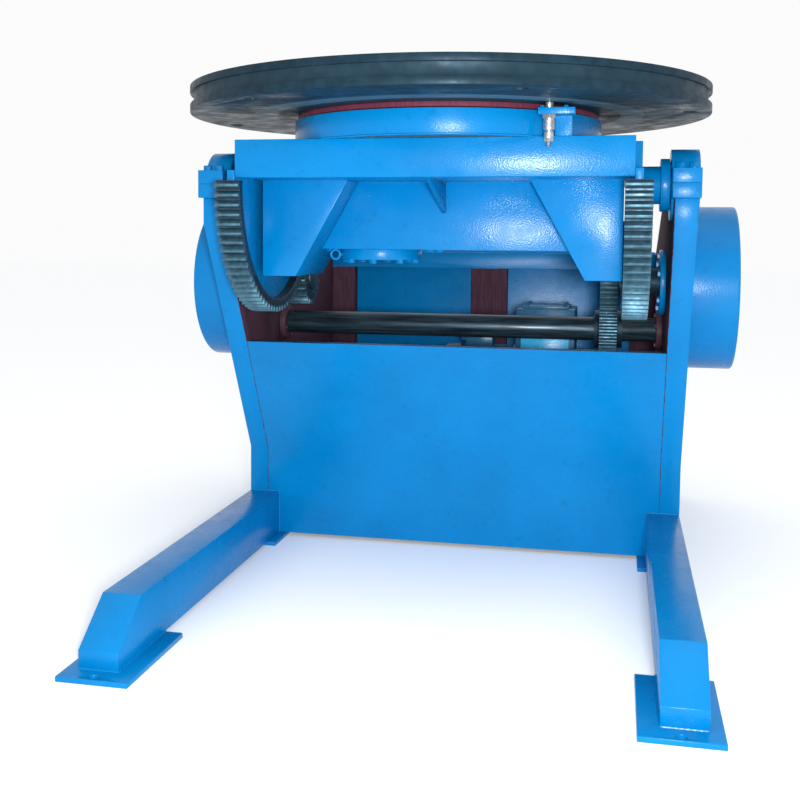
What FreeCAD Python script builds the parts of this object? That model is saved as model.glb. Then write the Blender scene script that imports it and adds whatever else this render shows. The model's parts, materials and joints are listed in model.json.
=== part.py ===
"""Welding positioner with a slewing table and a geared tilt drive.

The frame stands on the floor with +Z up and +X across the machine.  The tilt
axis runs along X at ``axis_height``.  Every outline below is drawn with its Y
measured from the tilt axis, +Y towards the back of the machine, and each
finished piece is then placed at ``axis_place`` so that the origin lies on the
floor under the middle of the base.  All lengths are millimetres.
"""
import FreeCAD
import Part
import math
import os
import re

import Sketcher

SIZES = {
    # Base and side frames
    "base_length": 2120.0,
    "front_reach": 940.0,
    "axis_height": 1100.0,
    "wall_inner": 607.0,
    "wall_thick": 58.0,
    "fold_back": 279.0,
    "fold_drop": 815.0,
    "lean_angle": 30.0,
    "sill_drop": 457.0,
    "kink_drop": 110.0,
    "shoulder_drop": 38.0,
    "crown_back": 650.0,
    "rear_drop": 200.0,
    "rear_back": 1150.0,
    "panel_thick": 12.0,
    "sill_depth": 50.0,
    # Legs and foot pads
    "leg_inner": 569.0,
    "leg_width": 95.0,
    "leg_height": 132.0,
    "nose_reach": 888.0,
    "nose_height": 41.0,
    "slope_reach": 767.0,
    "pad_thick": 12.0,
    "pad_inner": 525.0,
    "pad_width": 167.0,
    "pad_length": 308.0,
    "mid_pad_inner": 545.0,
    "mid_pad_width": 143.0,
    "mid_pad_length": 240.0,
    "anchor_radius": 11.0,
    "anchor_inset": 32.0,
    # Back frame
    "side_post_width": 88.0,
    "middle_post_width": 134.0,
    "post_depth": 50.0,
    "rail_height": 60.0,
    "beam_depth": 100.0,
    # Trunnion bearings
    "journal_radius": 45.0,
    "boss_radius": 50.0,
    "collar_radius": 70.0,
    "collar_length": 24.0,
    "housing_radius": 94.0,
    "housing_overhang": 7.0,
    "ear_reach": 150.0,
    "ear_bolt_back": 122.0,
    "ear_bolt_radius": 13.0,
    "ear_bolt_height": 14.0,
    "ear_bolt_spread": 34.0,
    # Tilting frame
    "platform_half": 505.0,
    "platform_front": 318.0,
    "platform_rise": 8.0,
    "platform_height": 97.5,
    "web_thick": 20.0,
    "web_lug_half": 150.0,
    "web_lap": 20.0,
    "side_box_outer": 481.0,
    "side_box_inner_top": 243.0,
    "side_box_inner_foot": 387.0,
    "side_box_height": 259.0,
    "side_box_front": 160.0,
    "side_box_back": 126.0,
    "belly_front": 36.0,
    "belly_back": 210.0,
    "belly_height": 185.0,
    "gusset_thick": 12.0,
    "gusset_height": 85.0,
    # Slewing table
    "table_radius": 700.0,
    "table_thick": 68.0,
    "table_rise": 184.0,
    "rim_lip": 18.0,
    "rim_foot": 20.0,
    "rim_groove": 10.0,
    "table_bore": 60.0,
    "bore_step": 80.0,
    "bore_step_depth": 12.0,
    "table_hole_count": 6.0,
    "table_hole_radius": 18.0,
    "table_hole_inset": 55.0,
    "table_hole_angle": -7.0,
    "ring_mark_width": 3.0,
    "ring_mark_depth": 2.0,
    "ring_mark_first": 250.0,
    "ring_mark_pitch": 150.0,
    "adapter_radius": 410.0,
    "adapter_thick": 13.0,
    "guard_radius": 418.0,
    "guard_wall": 10.0,
    "guard_height": 62.5,
    "race_outer": 384.0,
    "race_height": 56.0,
    "geared_ring_outer": 320.0,
    "geared_ring_depth": 60.0,
    # Slewing drive
    "slew_module": 8.0,
    "slew_ring_teeth": 69.0,
    "slew_pinion_teeth": 15.0,
    "slew_pinion_face": 48.0,
    "slew_shaft_radius": 25.0,
    "slew_shaft_root": 100.0,
    "slew_body_radius": 40.0,
    "slew_pinion_rise": 7.5,
    "slew_flange_radius": 118.0,
    "slew_flange_thick": 30.0,
    "slew_bolt_count": 8.0,
    "slew_bolt_circle": 100.0,
    "slew_bolt_radius": 9.0,
    "slew_bolt_height": 10.0,
    # Current pick-up on the platform edge
    "brush_across": 300.0,
    "brush_out": 30.0,
    "brush_rod_radius": 10.0,
    "brush_collar_radius": 14.0,
    "brush_stem_radius": 6.0,
    "brush_stem_length": 19.0,
    "brush_collar_length": 17.0,
    "brush_sleeve_radius": 13.5,
    "brush_sleeve_rise": 10.0,
    "brush_post_offset": 13.0,
    "brush_post_width": 41.0,
    "brush_post_depth": 30.0,
    "brush_clamp_overhang": 26.0,
    "brush_clamp_lap": 8.0,
    "brush_clamp_front": 15.0,
    "brush_clamp_height": 16.0,
    "brush_clamp_rise": 48.0,
    # Tilt drive: sectors and pinions
    "tilt_module": 8.0,
    "tilt_sector_teeth": 88.0,
    "tilt_cut_teeth": 40.0,
    "tilt_pinion_teeth": 20.0,
    "tilt_pinion_angle": -38.9,
    "sector_inner": 322.0,
    "sector_face": 66.0,
    "pinion_face": 72.0,
    "pinion_shaft_radius": 40.0,
    "pinion_stub": 5.0,
    "pinion_end_radius": 34.0,
    "gear_hub_radius": 60.0,
    "gear_hub_length": 13.0,
    "pinion_flange_radius": 97.0,
    "pinion_flange_thick": 16.0,
    # Tilt drive: cross shaft and its gears
    "drive_module": 6.0,
    "big_gear_teeth": 50.0,
    "small_gear_teeth": 15.0,
    "train_angle": -51.9,
    "train_start": 24.0,
    "train_face": 50.0,
    "cross_gear_teeth": 62.0,
    "cross_gear_across": 446.0,
    "cross_gear_face": 52.0,
    "cross_hub_radius": 58.0,
    "cross_hub_length": 84.0,
    "cross_shaft_radius": 36.5,
    "cross_journal_radius": 30.0,
    "cross_end_radius": 25.0,
    "cross_flange_radius": 58.0,
    "cross_flange_thick": 18.0,
    "motor_pinion_teeth": 18.0,
    "motor_pinion_angle": -35.0,
    "motor_shaft_radius": 25.0,
    # Drive unit and its shelf
    "reducer_left": 150.0,
    "reducer_width": 190.0,
    "reducer_depth": 220.0,
    "reducer_height": 315.0,
    "reducer_axis_rise": 126.0,
    "reducer_wall": 30.0,
    "reducer_hub_radius": 55.0,
    "reducer_hub_length": 62.0,
    "motor_radius": 84.0,
    "motor_body_radius": 76.0,
    "motor_length": 250.0,
    "motor_flange_thick": 14.0,
    "motor_cowl_length": 62.0,
    "motor_cowl_round": 12.0,
    "motor_rise": 105.0,
    "shelf_thick": 12.0,
    "shelf_depth": 270.0,
    "shelf_flange": 70.0,
    # Gear covers outside the walls
    "drum_back": 379.0,
    "drum_drop": 287.0,
    "drum_radius": 240.0,
    "drum_depth": 138.0,
    "drum_wall": 8.0,
    # Clearances
    "running_gap": 0.05,
    "free_gap": 2.0,
    "slewing_gap": 0.5,
    "brush_gap": 0.5,
    "weld_gap": 0.2,
    "bore_gap": 6.0,
    "tooth_play": 1.0,
}

FUNCTIONS = {"sin", "cos", "tan", "sqrt"}
LEFT, RIGHT = -1, 1
ACROSS = FreeCAD.Vector(1, 0, 0)
UP = FreeCAD.Vector(0, 0, 1)
SIDES = {"left": LEFT, "right": RIGHT}

DOCUMENT = FreeCAD.newDocument("WeldingPositioner")
SHEET = DOCUMENT.addObject("Spreadsheet::Sheet", "sizes")
FINISHED = []

# Places worked out from the driving sizes, written as sheet formulas.
AXIS_PLACE = "(front_reach - base_length / 2)"
WALL_OUTER = "(wall_inner + wall_thick)"
LEG_TOP = "(pad_thick + leg_height)"
FOLD_UP = "(axis_height - fold_drop)"
SILL_UP = "(axis_height - sill_drop)"
KINK_UP = "(axis_height - kink_drop)"
REAR_TOP = "(axis_height - rear_drop)"
LEAN = "(fold_back - (fold_drop - {drop}) * tan(lean_angle))"
SILL_BACK = LEAN.format(drop="sill_drop")
KINK_BACK = LEAN.format(drop="kink_drop")
SHOULDER = "(axis_height - shoulder_drop)"
PLATFORM_FOOT = "(axis_height + platform_rise)"
PLATFORM_TOP = "(axis_height + platform_rise + platform_height)"
TABLE_FOOT = "(axis_height + table_rise)"
HOLE_CIRCLE = "(table_radius - table_hole_inset)"
SECTOR_MIDDLE = "(platform_half + web_thick / 2)"
BASE_FRONT = "(-front_reach)"
BASE_BACK = "(base_length - front_reach)"
PINION_DISTANCE = "(tilt_module * (tilt_sector_teeth + tilt_pinion_teeth) / 2)"
PINION_BACK = f"({PINION_DISTANCE} * cos(tilt_pinion_angle))"
PINION_UP = f"(axis_height + {PINION_DISTANCE} * sin(tilt_pinion_angle))"
TRAIN_DISTANCE = "(drive_module * (big_gear_teeth + small_gear_teeth) / 2)"
CROSS_BACK = f"({PINION_BACK} + {TRAIN_DISTANCE} * cos(train_angle))"
CROSS_UP = f"({PINION_UP} + {TRAIN_DISTANCE} * sin(train_angle))"
MOTOR_DISTANCE = "(drive_module * (cross_gear_teeth + motor_pinion_teeth) / 2)"
MOTOR_BACK = f"({CROSS_BACK} + {MOTOR_DISTANCE} * cos(motor_pinion_angle))"
MOTOR_UP = f"({CROSS_UP} + {MOTOR_DISTANCE} * sin(motor_pinion_angle))"
SLEW_DISTANCE = "(slew_module * (slew_ring_teeth - slew_pinion_teeth) / 2)"
SLEW_ACROSS = "(slew_body_radius + free_gap - side_box_inner_top)"
SLEW_BACK = f"sqrt({SLEW_DISTANCE}^2 - {SLEW_ACROSS}^2)"


def fill_sheet():
    """Write every driving size into the sheet and name its cell."""
    for row, (name, number) in enumerate(SIZES.items(), start=1):
        SHEET.set(f"A{row}", name)
        SHEET.set(f"B{row}", str(number))
        SHEET.setAlias(f"B{row}", name)
    DOCUMENT.recompute()


def bind(text):
    """Turn a formula in plain size names into one that other objects can hold."""
    return re.sub(
        r"[a-z][a-z0-9_]*",
        lambda word: word.group() if word.group() in FUNCTIONS else f"sizes.{word.group()}",
        text,
    )


def number(text):
    """Work out a formula in size names now."""
    return float(SHEET.evalExpression(text))


def span(side, inner, width):
    """Start, along +X, of a stretch that begins at inner on either side of the middle."""
    return f"({inner})" if side == RIGHT else f"(-({inner}) - ({width}))"


def finish(item, label, across="0", back="0", up="0"):
    """Name a finished piece and place it in the machine's frame."""
    item.Label = label
    item.setExpression("Placement.Base.x", bind(across))
    item.setExpression("Placement.Base.y", bind(f"{AXIS_PLACE} + {back}"))
    item.setExpression("Placement.Base.z", bind(up))
    FINISHED.append(item)
    return item


# ---------------------------------------------------------------- sketches
def origin_plane(body, role):
    """Find one of the body's own origin planes."""
    return next(part for part in body.Origin.OriginFeatures if part.Role == role)


def new_sketch(body, plane, offset="0"):
    """Add a sketch on one of the body's own planes, lifted along its normal."""
    sketch = body.newObject("Sketcher::SketchObject", f"{body.Name}_sketch")
    sketch.AttachmentSupport = [(origin_plane(body, plane), "")]
    sketch.MapMode = "FlatFace"
    sketch.setExpression("AttachmentOffset.Base.z", bind(offset))
    return sketch


def pin_point(sketch, edge, end, across, up):
    """Hold one end of an edge at two formulas measured from the sketch's origin."""
    for kind, text in (("DistanceX", across), ("DistanceY", up)):
        constraint = Sketcher.Constraint(kind, -1, 1, edge, end, number(text))
        index = sketch.addConstraint(constraint)
        sketch.setExpression(f"Constraints[{index}]", bind(text))


def draw_outline(sketch, points):
    """Draw a closed outline of straight edges through points given as formulas."""
    corners = [FreeCAD.Vector(number(across), number(up), 0) for across, up in points]
    count = len(corners)
    first = sketch.GeometryCount
    lines = [Part.LineSegment(corners[i], corners[(i + 1) % count]) for i in range(count)]
    sketch.addGeometry(lines, False)
    for i in range(count):
        following = first + (i + 1) % count
        sketch.addConstraint(Sketcher.Constraint("Coincident", first + i, 2, following, 1))
    for i, (across, up) in enumerate(points):
        pin_point(sketch, first + i, 1, across, up)


def draw_circle(sketch, across, up, radius):
    """Draw a circle whose centre and radius are formulas."""
    middle = FreeCAD.Vector(number(across), number(up), 0)
    circle = Part.Circle(middle, FreeCAD.Vector(0, 0, 1), number(radius))
    index = sketch.addGeometry(circle, False)
    pin_point(sketch, index, 3, across, up)
    size = sketch.addConstraint(Sketcher.Constraint("Radius", index, number(radius)))
    sketch.setExpression(f"Constraints[{size}]", bind(radius))


# ------------------------------------------------------------ body features
def new_body(name):
    """Add an empty body."""
    return DOCUMENT.addObject("PartDesign::Body", name)


def add_pad(body, plane, start, length, points):
    """Pad an outline from start, along the plane's normal."""
    sketch = new_sketch(body, plane, start)
    draw_outline(sketch, points)
    pad = body.newObject("PartDesign::Pad", f"{body.Name}_pad")
    pad.Profile = sketch
    pad.setExpression("Length", bind(length))
    return pad


def add_turning(body, points, axis):
    """Turn an outline in the XZ plane about the sketch's own axis."""
    sketch = new_sketch(body, "XZ_Plane")
    draw_outline(sketch, points)
    turning = body.newObject("PartDesign::Revolution", f"{body.Name}_turning")
    turning.Profile = sketch
    turning.ReferenceAxis = (sketch, [axis])
    turning.Angle = 360
    return turning


def drill(body, plane, start, depth, centres, radius):
    """Drill round holes from start against the plane's normal."""
    DOCUMENT.recompute()
    before = body.Shape.Volume
    sketch = new_sketch(body, plane, start)
    for across, up in centres:
        draw_circle(sketch, across, up, radius)
    pocket = body.newObject("PartDesign::Pocket", f"{body.Name}_holes")
    pocket.Profile = sketch
    pocket.setExpression("Length", bind(depth))
    DOCUMENT.recompute()
    if body.Shape.Volume >= before:
        raise ValueError(f"the holes of {body.Name} removed nothing")
    return pocket


def repeat_round(body, feature, count):
    """Repeat a feature evenly about the body's Z axis."""
    pattern = body.newObject("PartDesign::PolarPattern", f"{body.Name}_round")
    pattern.Originals = [feature]
    pattern.Axis = (origin_plane(body, "Z_Axis"), [""])
    pattern.Angle = 360
    pattern.setExpression("Occurrences", bind(count))
    body.Tip = pattern
    return pattern


# ---------------------------------------------------------- plain primitives
def set_place(item, across, back, up):
    """Bind a primitive's place to three formulas."""
    item.setExpression("Placement.Base.x", bind(across))
    item.setExpression("Placement.Base.y", bind(back))
    item.setExpression("Placement.Base.z", bind(up))


def block(name, start, lengths):
    """Add a box from three start formulas and three lengths."""
    item = DOCUMENT.addObject("Part::Box", name)
    for side, text in zip(("Length", "Width", "Height"), lengths):
        item.setExpression(side, bind(text))
    set_place(item, *start)
    return item


def rod(name, axis, start, radius, length):
    """Add a cylinder along +X or +Z."""
    item = DOCUMENT.addObject("Part::Cylinder", name)
    if axis == "X":
        item.Placement.Rotation = FreeCAD.Rotation(FreeCAD.Vector(0, 1, 0), 90)
    item.setExpression("Radius", bind(radius))
    item.setExpression("Height", bind(length))
    set_place(item, *start)
    return item


def fuse(name, items):
    """Join primitives into one solid."""
    item = DOCUMENT.addObject("Part::MultiFuse", name)
    item.Shapes = items
    item.Refine = True
    return item


def cut(name, base, tool):
    """Take one shape out of another."""
    item = DOCUMENT.addObject("Part::Cut", name)
    item.Base = base
    item.Tool = tool
    item.Refine = True
    return item


def compound(name, items):
    """Keep several solids together as one piece."""
    item = DOCUMENT.addObject("Part::Compound", name)
    item.Links = items
    return item


def solid(name, shape, across, back, up):
    """Add a shape worked out in code, then place it."""
    item = DOCUMENT.addObject("Part::Feature", name)
    item.Shape = shape
    return finish(item, name, across, back, up)


# --------------------------------------------------------------------- gears
def involute(angle):
    """Involute function of a pressure angle in radians."""
    return math.tan(angle) - angle


class Gear:
    """A spur gear drawn in a plane, with straight chords for its flanks."""

    PRESSURE = math.radians(20)
    ADDENDUM = 0.95
    DEDENDUM = 1.25

    def __init__(self, module, teeth, phase, steps=2, internal=False):
        """Set the module, the tooth count and the angle of one tooth, in degrees."""
        self.module = module
        self.teeth = int(round(teeth))
        self.phase = phase
        self.steps = steps
        self.internal = internal
        self.pitch_radius = module * self.teeth / 2
        outward, inward = self.ADDENDUM, self.DEDENDUM
        if internal:
            outward, inward = inward, outward
        self.tip_radius = self.pitch_radius + module * outward
        self.root_radius = self.pitch_radius - module * inward

    def half_angle(self, radius):
        """Half of a tooth's angle at a radius; of a gap's in an internal ring."""
        play = number("tooth_play") / 2
        width = math.pi * self.module / 2 + (play if self.internal else -play)
        base = self.pitch_radius * math.cos(self.PRESSURE)
        pressure = math.acos(min(1.0, base / radius))
        return width / (2 * self.pitch_radius) + involute(self.PRESSURE) - involute(pressure)

    def outline(self, count=None):
        """Corners of the toothed edge, as pairs of radius and angle in radians."""
        corners = []
        pitch = 2 * math.pi / self.teeth
        depth = self.tip_radius - self.root_radius
        radii = [self.root_radius + depth * i / self.steps for i in range(self.steps + 1)]
        for tooth in range(self.teeth if count is None else count):
            middle = math.radians(self.phase) + tooth * pitch
            rising = [(radius, middle - self.half_angle(radius)) for radius in radii]
            falling = [(radius, middle + self.half_angle(radius)) for radius in radii[::-1]]
            corners += rising + falling
        return corners

    def mate(self, direction, teeth, steps=2):
        """Gear that runs with this one, its centre lying in the given direction."""
        tooth = self.phase + (180 / self.teeth if self.internal else 0)
        offset = (direction - tooth) % (360 / self.teeth)
        turn = offset * self.teeth / int(round(teeth))
        gap = direction - turn if self.internal else direction + 180 + turn
        return Gear(self.module, teeth, gap + 180 / int(round(teeth)), steps)


def upright(radius, angle):
    """Point of a gear that turns about X."""
    return FreeCAD.Vector(0, radius * math.cos(angle), radius * math.sin(angle))


def level(radius, angle):
    """Point of a gear that turns about Z."""
    return FreeCAD.Vector(radius * math.cos(angle), radius * math.sin(angle), 0)


def toothed_disc(gear, face, place=upright):
    """Solid disc with teeth all round, from its centre plane's start along its axis."""
    corners = [place(radius, angle) for radius, angle in gear.outline()]
    wire = Part.makePolygon(corners + corners[:1])
    along = ACROSS if place is upright else UP
    return Part.Face(wire).extrude(along * face)


def disc(radius, length, start=0.0, along=ACROSS):
    """Cylinder about the local axis."""
    return Part.makeCylinder(radius, length, along * start, along)


class TiltTrain:
    """The gears from the sectors to the motor, meshed at rest."""

    def __init__(self):
        """Work out the train from the sheet."""
        pitch = 360 / number("tilt_sector_teeth")
        self.sector = Gear(number("tilt_module"), number("tilt_sector_teeth"), 180 + pitch / 2)
        self.pinion = self.sector.mate(number("tilt_pinion_angle"), number("tilt_pinion_teeth"))
        self.big = Gear(number("drive_module"), number("big_gear_teeth"), 0.0, steps=1)
        self.small = self.big.mate(number("train_angle"), number("small_gear_teeth"), steps=1)
        self.cross = Gear(number("drive_module"), number("cross_gear_teeth"), 0.0)
        self.motor = self.cross.mate(number("motor_pinion_angle"), number("motor_pinion_teeth"))


# ---------------------------------------------------------------- fixed base
def make_column(name, side):
    """Side wall that leans forward and carries a trunnion bearing on its shoulder."""
    start = span(side, "wall_inner", "wall_thick")
    plate = new_body(f"column_{name}_plate")
    add_pad(
        plate, "YZ_Plane", start, "wall_thick",
        [
            ("fold_back", LEG_TOP),
            ("rear_back", LEG_TOP),
            ("rear_back", REAR_TOP),
            ("crown_back", SHOULDER),
            (KINK_BACK, SHOULDER),
            (KINK_BACK, KINK_UP),
            ("fold_back", FOLD_UP),
        ],
    )
    openings = [
        rod(
            f"column_{name}_{use}", "X", (start, back, up), radius, "wall_thick"
        )
        for use, back, up, radius in (
            ("saddle", "0", "axis_height", "housing_radius + weld_gap"),
            ("pinion_opening", PINION_BACK, PINION_UP, "pinion_shaft_radius + bore_gap"),
            ("cross_opening", CROSS_BACK, CROSS_UP, "cross_shaft_radius + bore_gap"),
        )
    ]
    column = cut(f"column_{name}_cut", plate, fuse(f"column_{name}_openings", openings))
    finish(column, f"column_{name}")


def make_front_panel():
    """Folded plate between the walls: upright foot, leaning face and a level sill."""
    plate = new_body("front_panel_plate")
    inner_fold = f"({FOLD_UP} + panel_thick * tan(lean_angle / 2))"
    inner_lean = f"({SILL_BACK} + panel_thick / cos(lean_angle) + panel_thick * tan(lean_angle))"
    add_pad(
        plate, "YZ_Plane", "-wall_inner", "2 * wall_inner",
        [
            ("fold_back", "pad_thick"),
            ("fold_back", FOLD_UP),
            (SILL_BACK, SILL_UP),
            (f"{SILL_BACK} + sill_depth", SILL_UP),
            (f"{SILL_BACK} + sill_depth", f"{SILL_UP} - panel_thick"),
            (inner_lean, f"{SILL_UP} - panel_thick"),
            ("fold_back + panel_thick", inner_fold),
            ("fold_back + panel_thick", "pad_thick"),
        ],
    )
    notches = [
        block(
            f"front_panel_{name}_notch",
            (span(side, "leg_inner", "leg_width"), "fold_back", "pad_thick"),
            ("leg_width", "panel_thick", "leg_height"),
        )
        for name, side in SIDES.items()
    ]
    panel = cut("front_panel_cut", plate, fuse("front_panel_notches", notches))
    finish(panel, "front_panel")


def make_leg(name, side):
    """Box runner under a wall, with a sloping nose in front."""
    leg = new_body(f"leg_{name}_box")
    add_pad(
        leg, "YZ_Plane", span(side, "leg_inner", "leg_width"), "leg_width",
        [
            ("-nose_reach", "pad_thick"),
            ("rear_back", "pad_thick"),
            ("rear_back", LEG_TOP),
            ("-slope_reach", LEG_TOP),
            ("-nose_reach", "pad_thick + nose_height"),
        ],
    )
    finish(leg, f"leg_{name}")


def make_pad(label, side, inner, width, front, length, hole_back):
    """Foot pad with one anchor hole."""
    pad = new_body(f"{label}_plate")
    start = span(side, inner, width)
    corners = [
        (start, front),
        (f"{start} + {width}", front),
        (f"{start} + {width}", f"{front} + {length}"),
        (start, f"{front} + {length}"),
    ]
    add_pad(pad, "XY_Plane", "0", "pad_thick", corners)
    middle = f"{start} + {width} / 2"
    drill(pad, "XY_Plane", "pad_thick", "pad_thick", [(middle, hole_back)], "anchor_radius")
    finish(pad, label)


def make_pads(name, side):
    """The three foot pads of one runner."""
    make_pad(
        f"pad_front_{name}", side, "pad_inner", "pad_width", BASE_FRONT, "pad_length",
        f"{BASE_FRONT} + anchor_inset / 2",
    )
    make_pad(
        f"pad_middle_{name}", side, "mid_pad_inner", "mid_pad_width",
        "(fold_back - mid_pad_length / 2)", "mid_pad_length",
        "fold_back - mid_pad_length / 2 + anchor_inset / 2",
    )
    make_pad(
        f"pad_rear_{name}", side, "pad_inner", "pad_width",
        f"({BASE_BACK} - pad_length)", "pad_length", f"{BASE_BACK} - anchor_inset / 2",
    )


def make_back():
    """Back frame of posts and rails, its cover plate, and the beam between the runners."""
    face = "(rear_back - panel_thick - post_depth)"
    height = f"({REAR_TOP} - {LEG_TOP})"
    posts = [
        block("post_middle", ("-middle_post_width / 2", face, LEG_TOP),
              ("middle_post_width", "post_depth", height)),
        block("rail_top", ("-wall_inner", face, f"{REAR_TOP} - rail_height"),
              ("2 * wall_inner", "post_depth", "rail_height")),
        block("rail_foot", ("-wall_inner", face, LEG_TOP),
              ("2 * wall_inner", "post_depth", "rail_height")),
    ]
    for name, side in SIDES.items():
        start = span(side, "wall_inner - side_post_width", "side_post_width")
        posts.append(
            block(f"post_{name}", (start, face, LEG_TOP),
                  ("side_post_width", "post_depth", height))
        )
    finish(fuse("rear_frame_bars", posts), "rear_frame")
    cover = block("rear_panel_plate", ("0", "0", "0"), ("2 * wall_inner", "panel_thick", height))
    finish(cover, "rear_panel", "-wall_inner", "rear_back - panel_thick", LEG_TOP)
    beam = block("rear_beam_box", ("0", "0", "0"), ("2 * leg_inner", "beam_depth", "leg_height"))
    finish(beam, "rear_beam", "-leg_inner", "rear_back - beam_depth", "pad_thick")


def make_housing(name, side):
    """Split bearing of one trunnion: saddle, cap and the cap's bolts."""
    width = "(wall_thick + 2 * housing_overhang)"
    start = span(side, "(wall_inner - housing_overhang)", width)
    bore = "journal_radius + running_gap"
    ears = {
        "saddle": ("bearing_saddle", "axis_height - shoulder_drop"),
        "cap": ("bearing_cap", "axis_height"),
    }
    for part, (label, foot) in ears.items():
        round_part = rod(f"{part}_{name}_round", "X", (start, "0", "axis_height"),
                         "housing_radius", width)
        half = block(
            f"{part}_{name}_half",
            (start, "-housing_radius",
             "axis_height" if part == "cap" else "axis_height - housing_radius"),
            (width, "2 * housing_radius", "housing_radius"),
        )
        halved = DOCUMENT.addObject("Part::Common", f"{part}_{name}_halved")
        halved.Base = round_part
        halved.Tool = half
        ear = block(f"{part}_{name}_ear", (start, "-ear_reach", foot),
                    (width, "2 * ear_reach", "shoulder_drop"))
        outer = fuse(f"{part}_{name}_outer", [halved, ear])
        opening = rod(f"{part}_{name}_bore", "X", (start, "0", "axis_height"), bore, width)
        finish(cut(f"{part}_{name}_cut", outer, opening), f"{label}_{name}")
    heads = [
        rod(
            f"cap_bolt_{name}_{back}_{along}", "Z",
            (f"{start} + {width} / 2 + {along} * ear_bolt_spread / 2",
             f"{back} * ear_bolt_back", "axis_height + shoulder_drop"),
            "ear_bolt_radius", "ear_bolt_height",
        )
        for back in (-1, 1) for along in (-1, 1)
    ]
    finish(compound(f"cap_bolts_{name}_heads", heads), f"cap_bolts_{name}")


def make_drum(name, side):
    """Round cover over the gears outside a wall: a rolled ring and its end plate."""
    ring_length = "(drum_depth - drum_wall)"
    place = (span(side, WALL_OUTER, ring_length), "drum_back", "axis_height - drum_drop")
    ring, opening = (
        rod(f"gear_cover_{name}_{use}", "X", place, radius, ring_length)
        for use, radius in (("ring", "drum_radius"), ("opening", "drum_radius - drum_wall"))
    )
    finish(cut(f"gear_cover_{name}_cut", ring, opening), f"gear_cover_{name}")
    plate = rod(
        f"cover_plate_{name}_disc", "X", ("0", "0", "0"), "drum_radius", "drum_wall"
    )
    finish(plate, f"cover_plate_{name}",
           span(side, f"{WALL_OUTER} + {ring_length}", "drum_wall"),
           "drum_back", "axis_height - drum_drop")


def make_flange(label, side, thickness, radius, bore, back, up):
    """Round bearing flange on the inner face of a wall."""
    flange = new_body(f"{label}_ring")
    hand = "" if side == RIGHT else "-"
    outline = [
        (f"{hand}(wall_inner - {thickness})", bore),
        (f"{hand}wall_inner", bore),
        (f"{hand}wall_inner", radius),
        (f"{hand}(wall_inner - {thickness})", radius),
    ]
    add_turning(flange, outline, "H_Axis")
    finish(flange, label, "0", back, up)


def make_drive_unit():
    """Worm reducer with its motor on a channel shelf between the walls."""
    shelf_top = f"({MOTOR_UP} - reducer_axis_rise)"
    front = f"({MOTOR_BACK} - shelf_depth / 2)"
    shelf = new_body("drive_shelf_channel")
    add_pad(
        shelf, "YZ_Plane", "-wall_inner", "2 * wall_inner",
        [
            (front, f"{shelf_top} - shelf_flange"),
            (f"{front} + shelf_thick", f"{shelf_top} - shelf_flange"),
            (f"{front} + shelf_thick", f"{shelf_top} - shelf_thick"),
            (f"{front} + shelf_depth - shelf_thick", f"{shelf_top} - shelf_thick"),
            (f"{front} + shelf_depth - shelf_thick", f"{shelf_top} - shelf_flange"),
            (f"{front} + shelf_depth", f"{shelf_top} - shelf_flange"),
            (f"{front} + shelf_depth", shelf_top),
            (front, shelf_top),
        ],
    )
    finish(shelf, "drive_shelf")
    case = block(
        "reducer_case",
        ("reducer_left", f"{MOTOR_BACK} - reducer_depth / 2", shelf_top),
        ("reducer_width", "reducer_depth", "reducer_height"),
    )
    hub = rod(
        "reducer_hub", "X", ("reducer_left + reducer_width", MOTOR_BACK, MOTOR_UP),
        "reducer_hub_radius", "reducer_hub_length",
    )
    bore = rod(
        "reducer_bore", "X", ("reducer_left + reducer_wall", MOTOR_BACK, MOTOR_UP),
        "motor_shaft_radius + running_gap",
        "reducer_width - reducer_wall + reducer_hub_length",
    )
    finish(cut("reducer_cut", fuse("reducer_outer", [case, hub]), bore), "reducer")
    motor = new_body("drive_motor_can")
    outline = [
        ("0", "0"),
        ("0", "motor_radius"),
        ("motor_flange_thick", "motor_radius"),
        ("motor_flange_thick", "motor_body_radius"),
        ("motor_length - motor_cowl_length", "motor_body_radius"),
        ("motor_length - motor_cowl_length", "motor_radius"),
        ("motor_length - motor_cowl_round", "motor_radius"),
        ("motor_length", "motor_radius - motor_cowl_round"),
        ("motor_length", "0"),
    ]
    add_turning(motor, [(f"-({along})", out) for along, out in outline], "H_Axis")
    finish(motor, "drive_motor", "reducer_left", MOTOR_BACK, f"{shelf_top} + motor_rise")


# ------------------------------------------------------------- tilting frame
def make_platform():
    """Box beam under the table with a bore for the slewing drive."""
    beam = block(
        "platform_box", ("-platform_half", "-platform_front", PLATFORM_FOOT),
        ("2 * platform_half", "2 * platform_front", "platform_height"),
    )
    bore = rod("platform_bore", "Z", (SLEW_ACROSS, SLEW_BACK, PLATFORM_FOOT),
               "slew_body_radius + weld_gap", "platform_height")
    finish(cut("platform_cut", beam, bore), "platform")


def make_belly():
    """Box under the platform, spreading downwards between the side boxes."""
    slope = "((side_box_inner_foot - side_box_inner_top) / side_box_height)"
    foot = f"(side_box_inner_top + belly_height * {slope})"
    body = new_body("belly_shell")
    add_pad(
        body, "XZ_Plane", "-belly_back", "belly_front + belly_back",
        [
            ("-side_box_inner_top", PLATFORM_FOOT),
            ("side_box_inner_top", PLATFORM_FOOT),
            (foot, f"{PLATFORM_FOOT} - belly_height"),
            (f"-{foot}", f"{PLATFORM_FOOT} - belly_height"),
        ],
    )
    bore = rod("belly_bore", "Z", (SLEW_ACROSS, SLEW_BACK, f"{PLATFORM_FOOT} - belly_height"),
               "slew_body_radius + weld_gap", "belly_height")
    finish(cut("belly_cut", body, bore), "belly_box")


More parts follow.
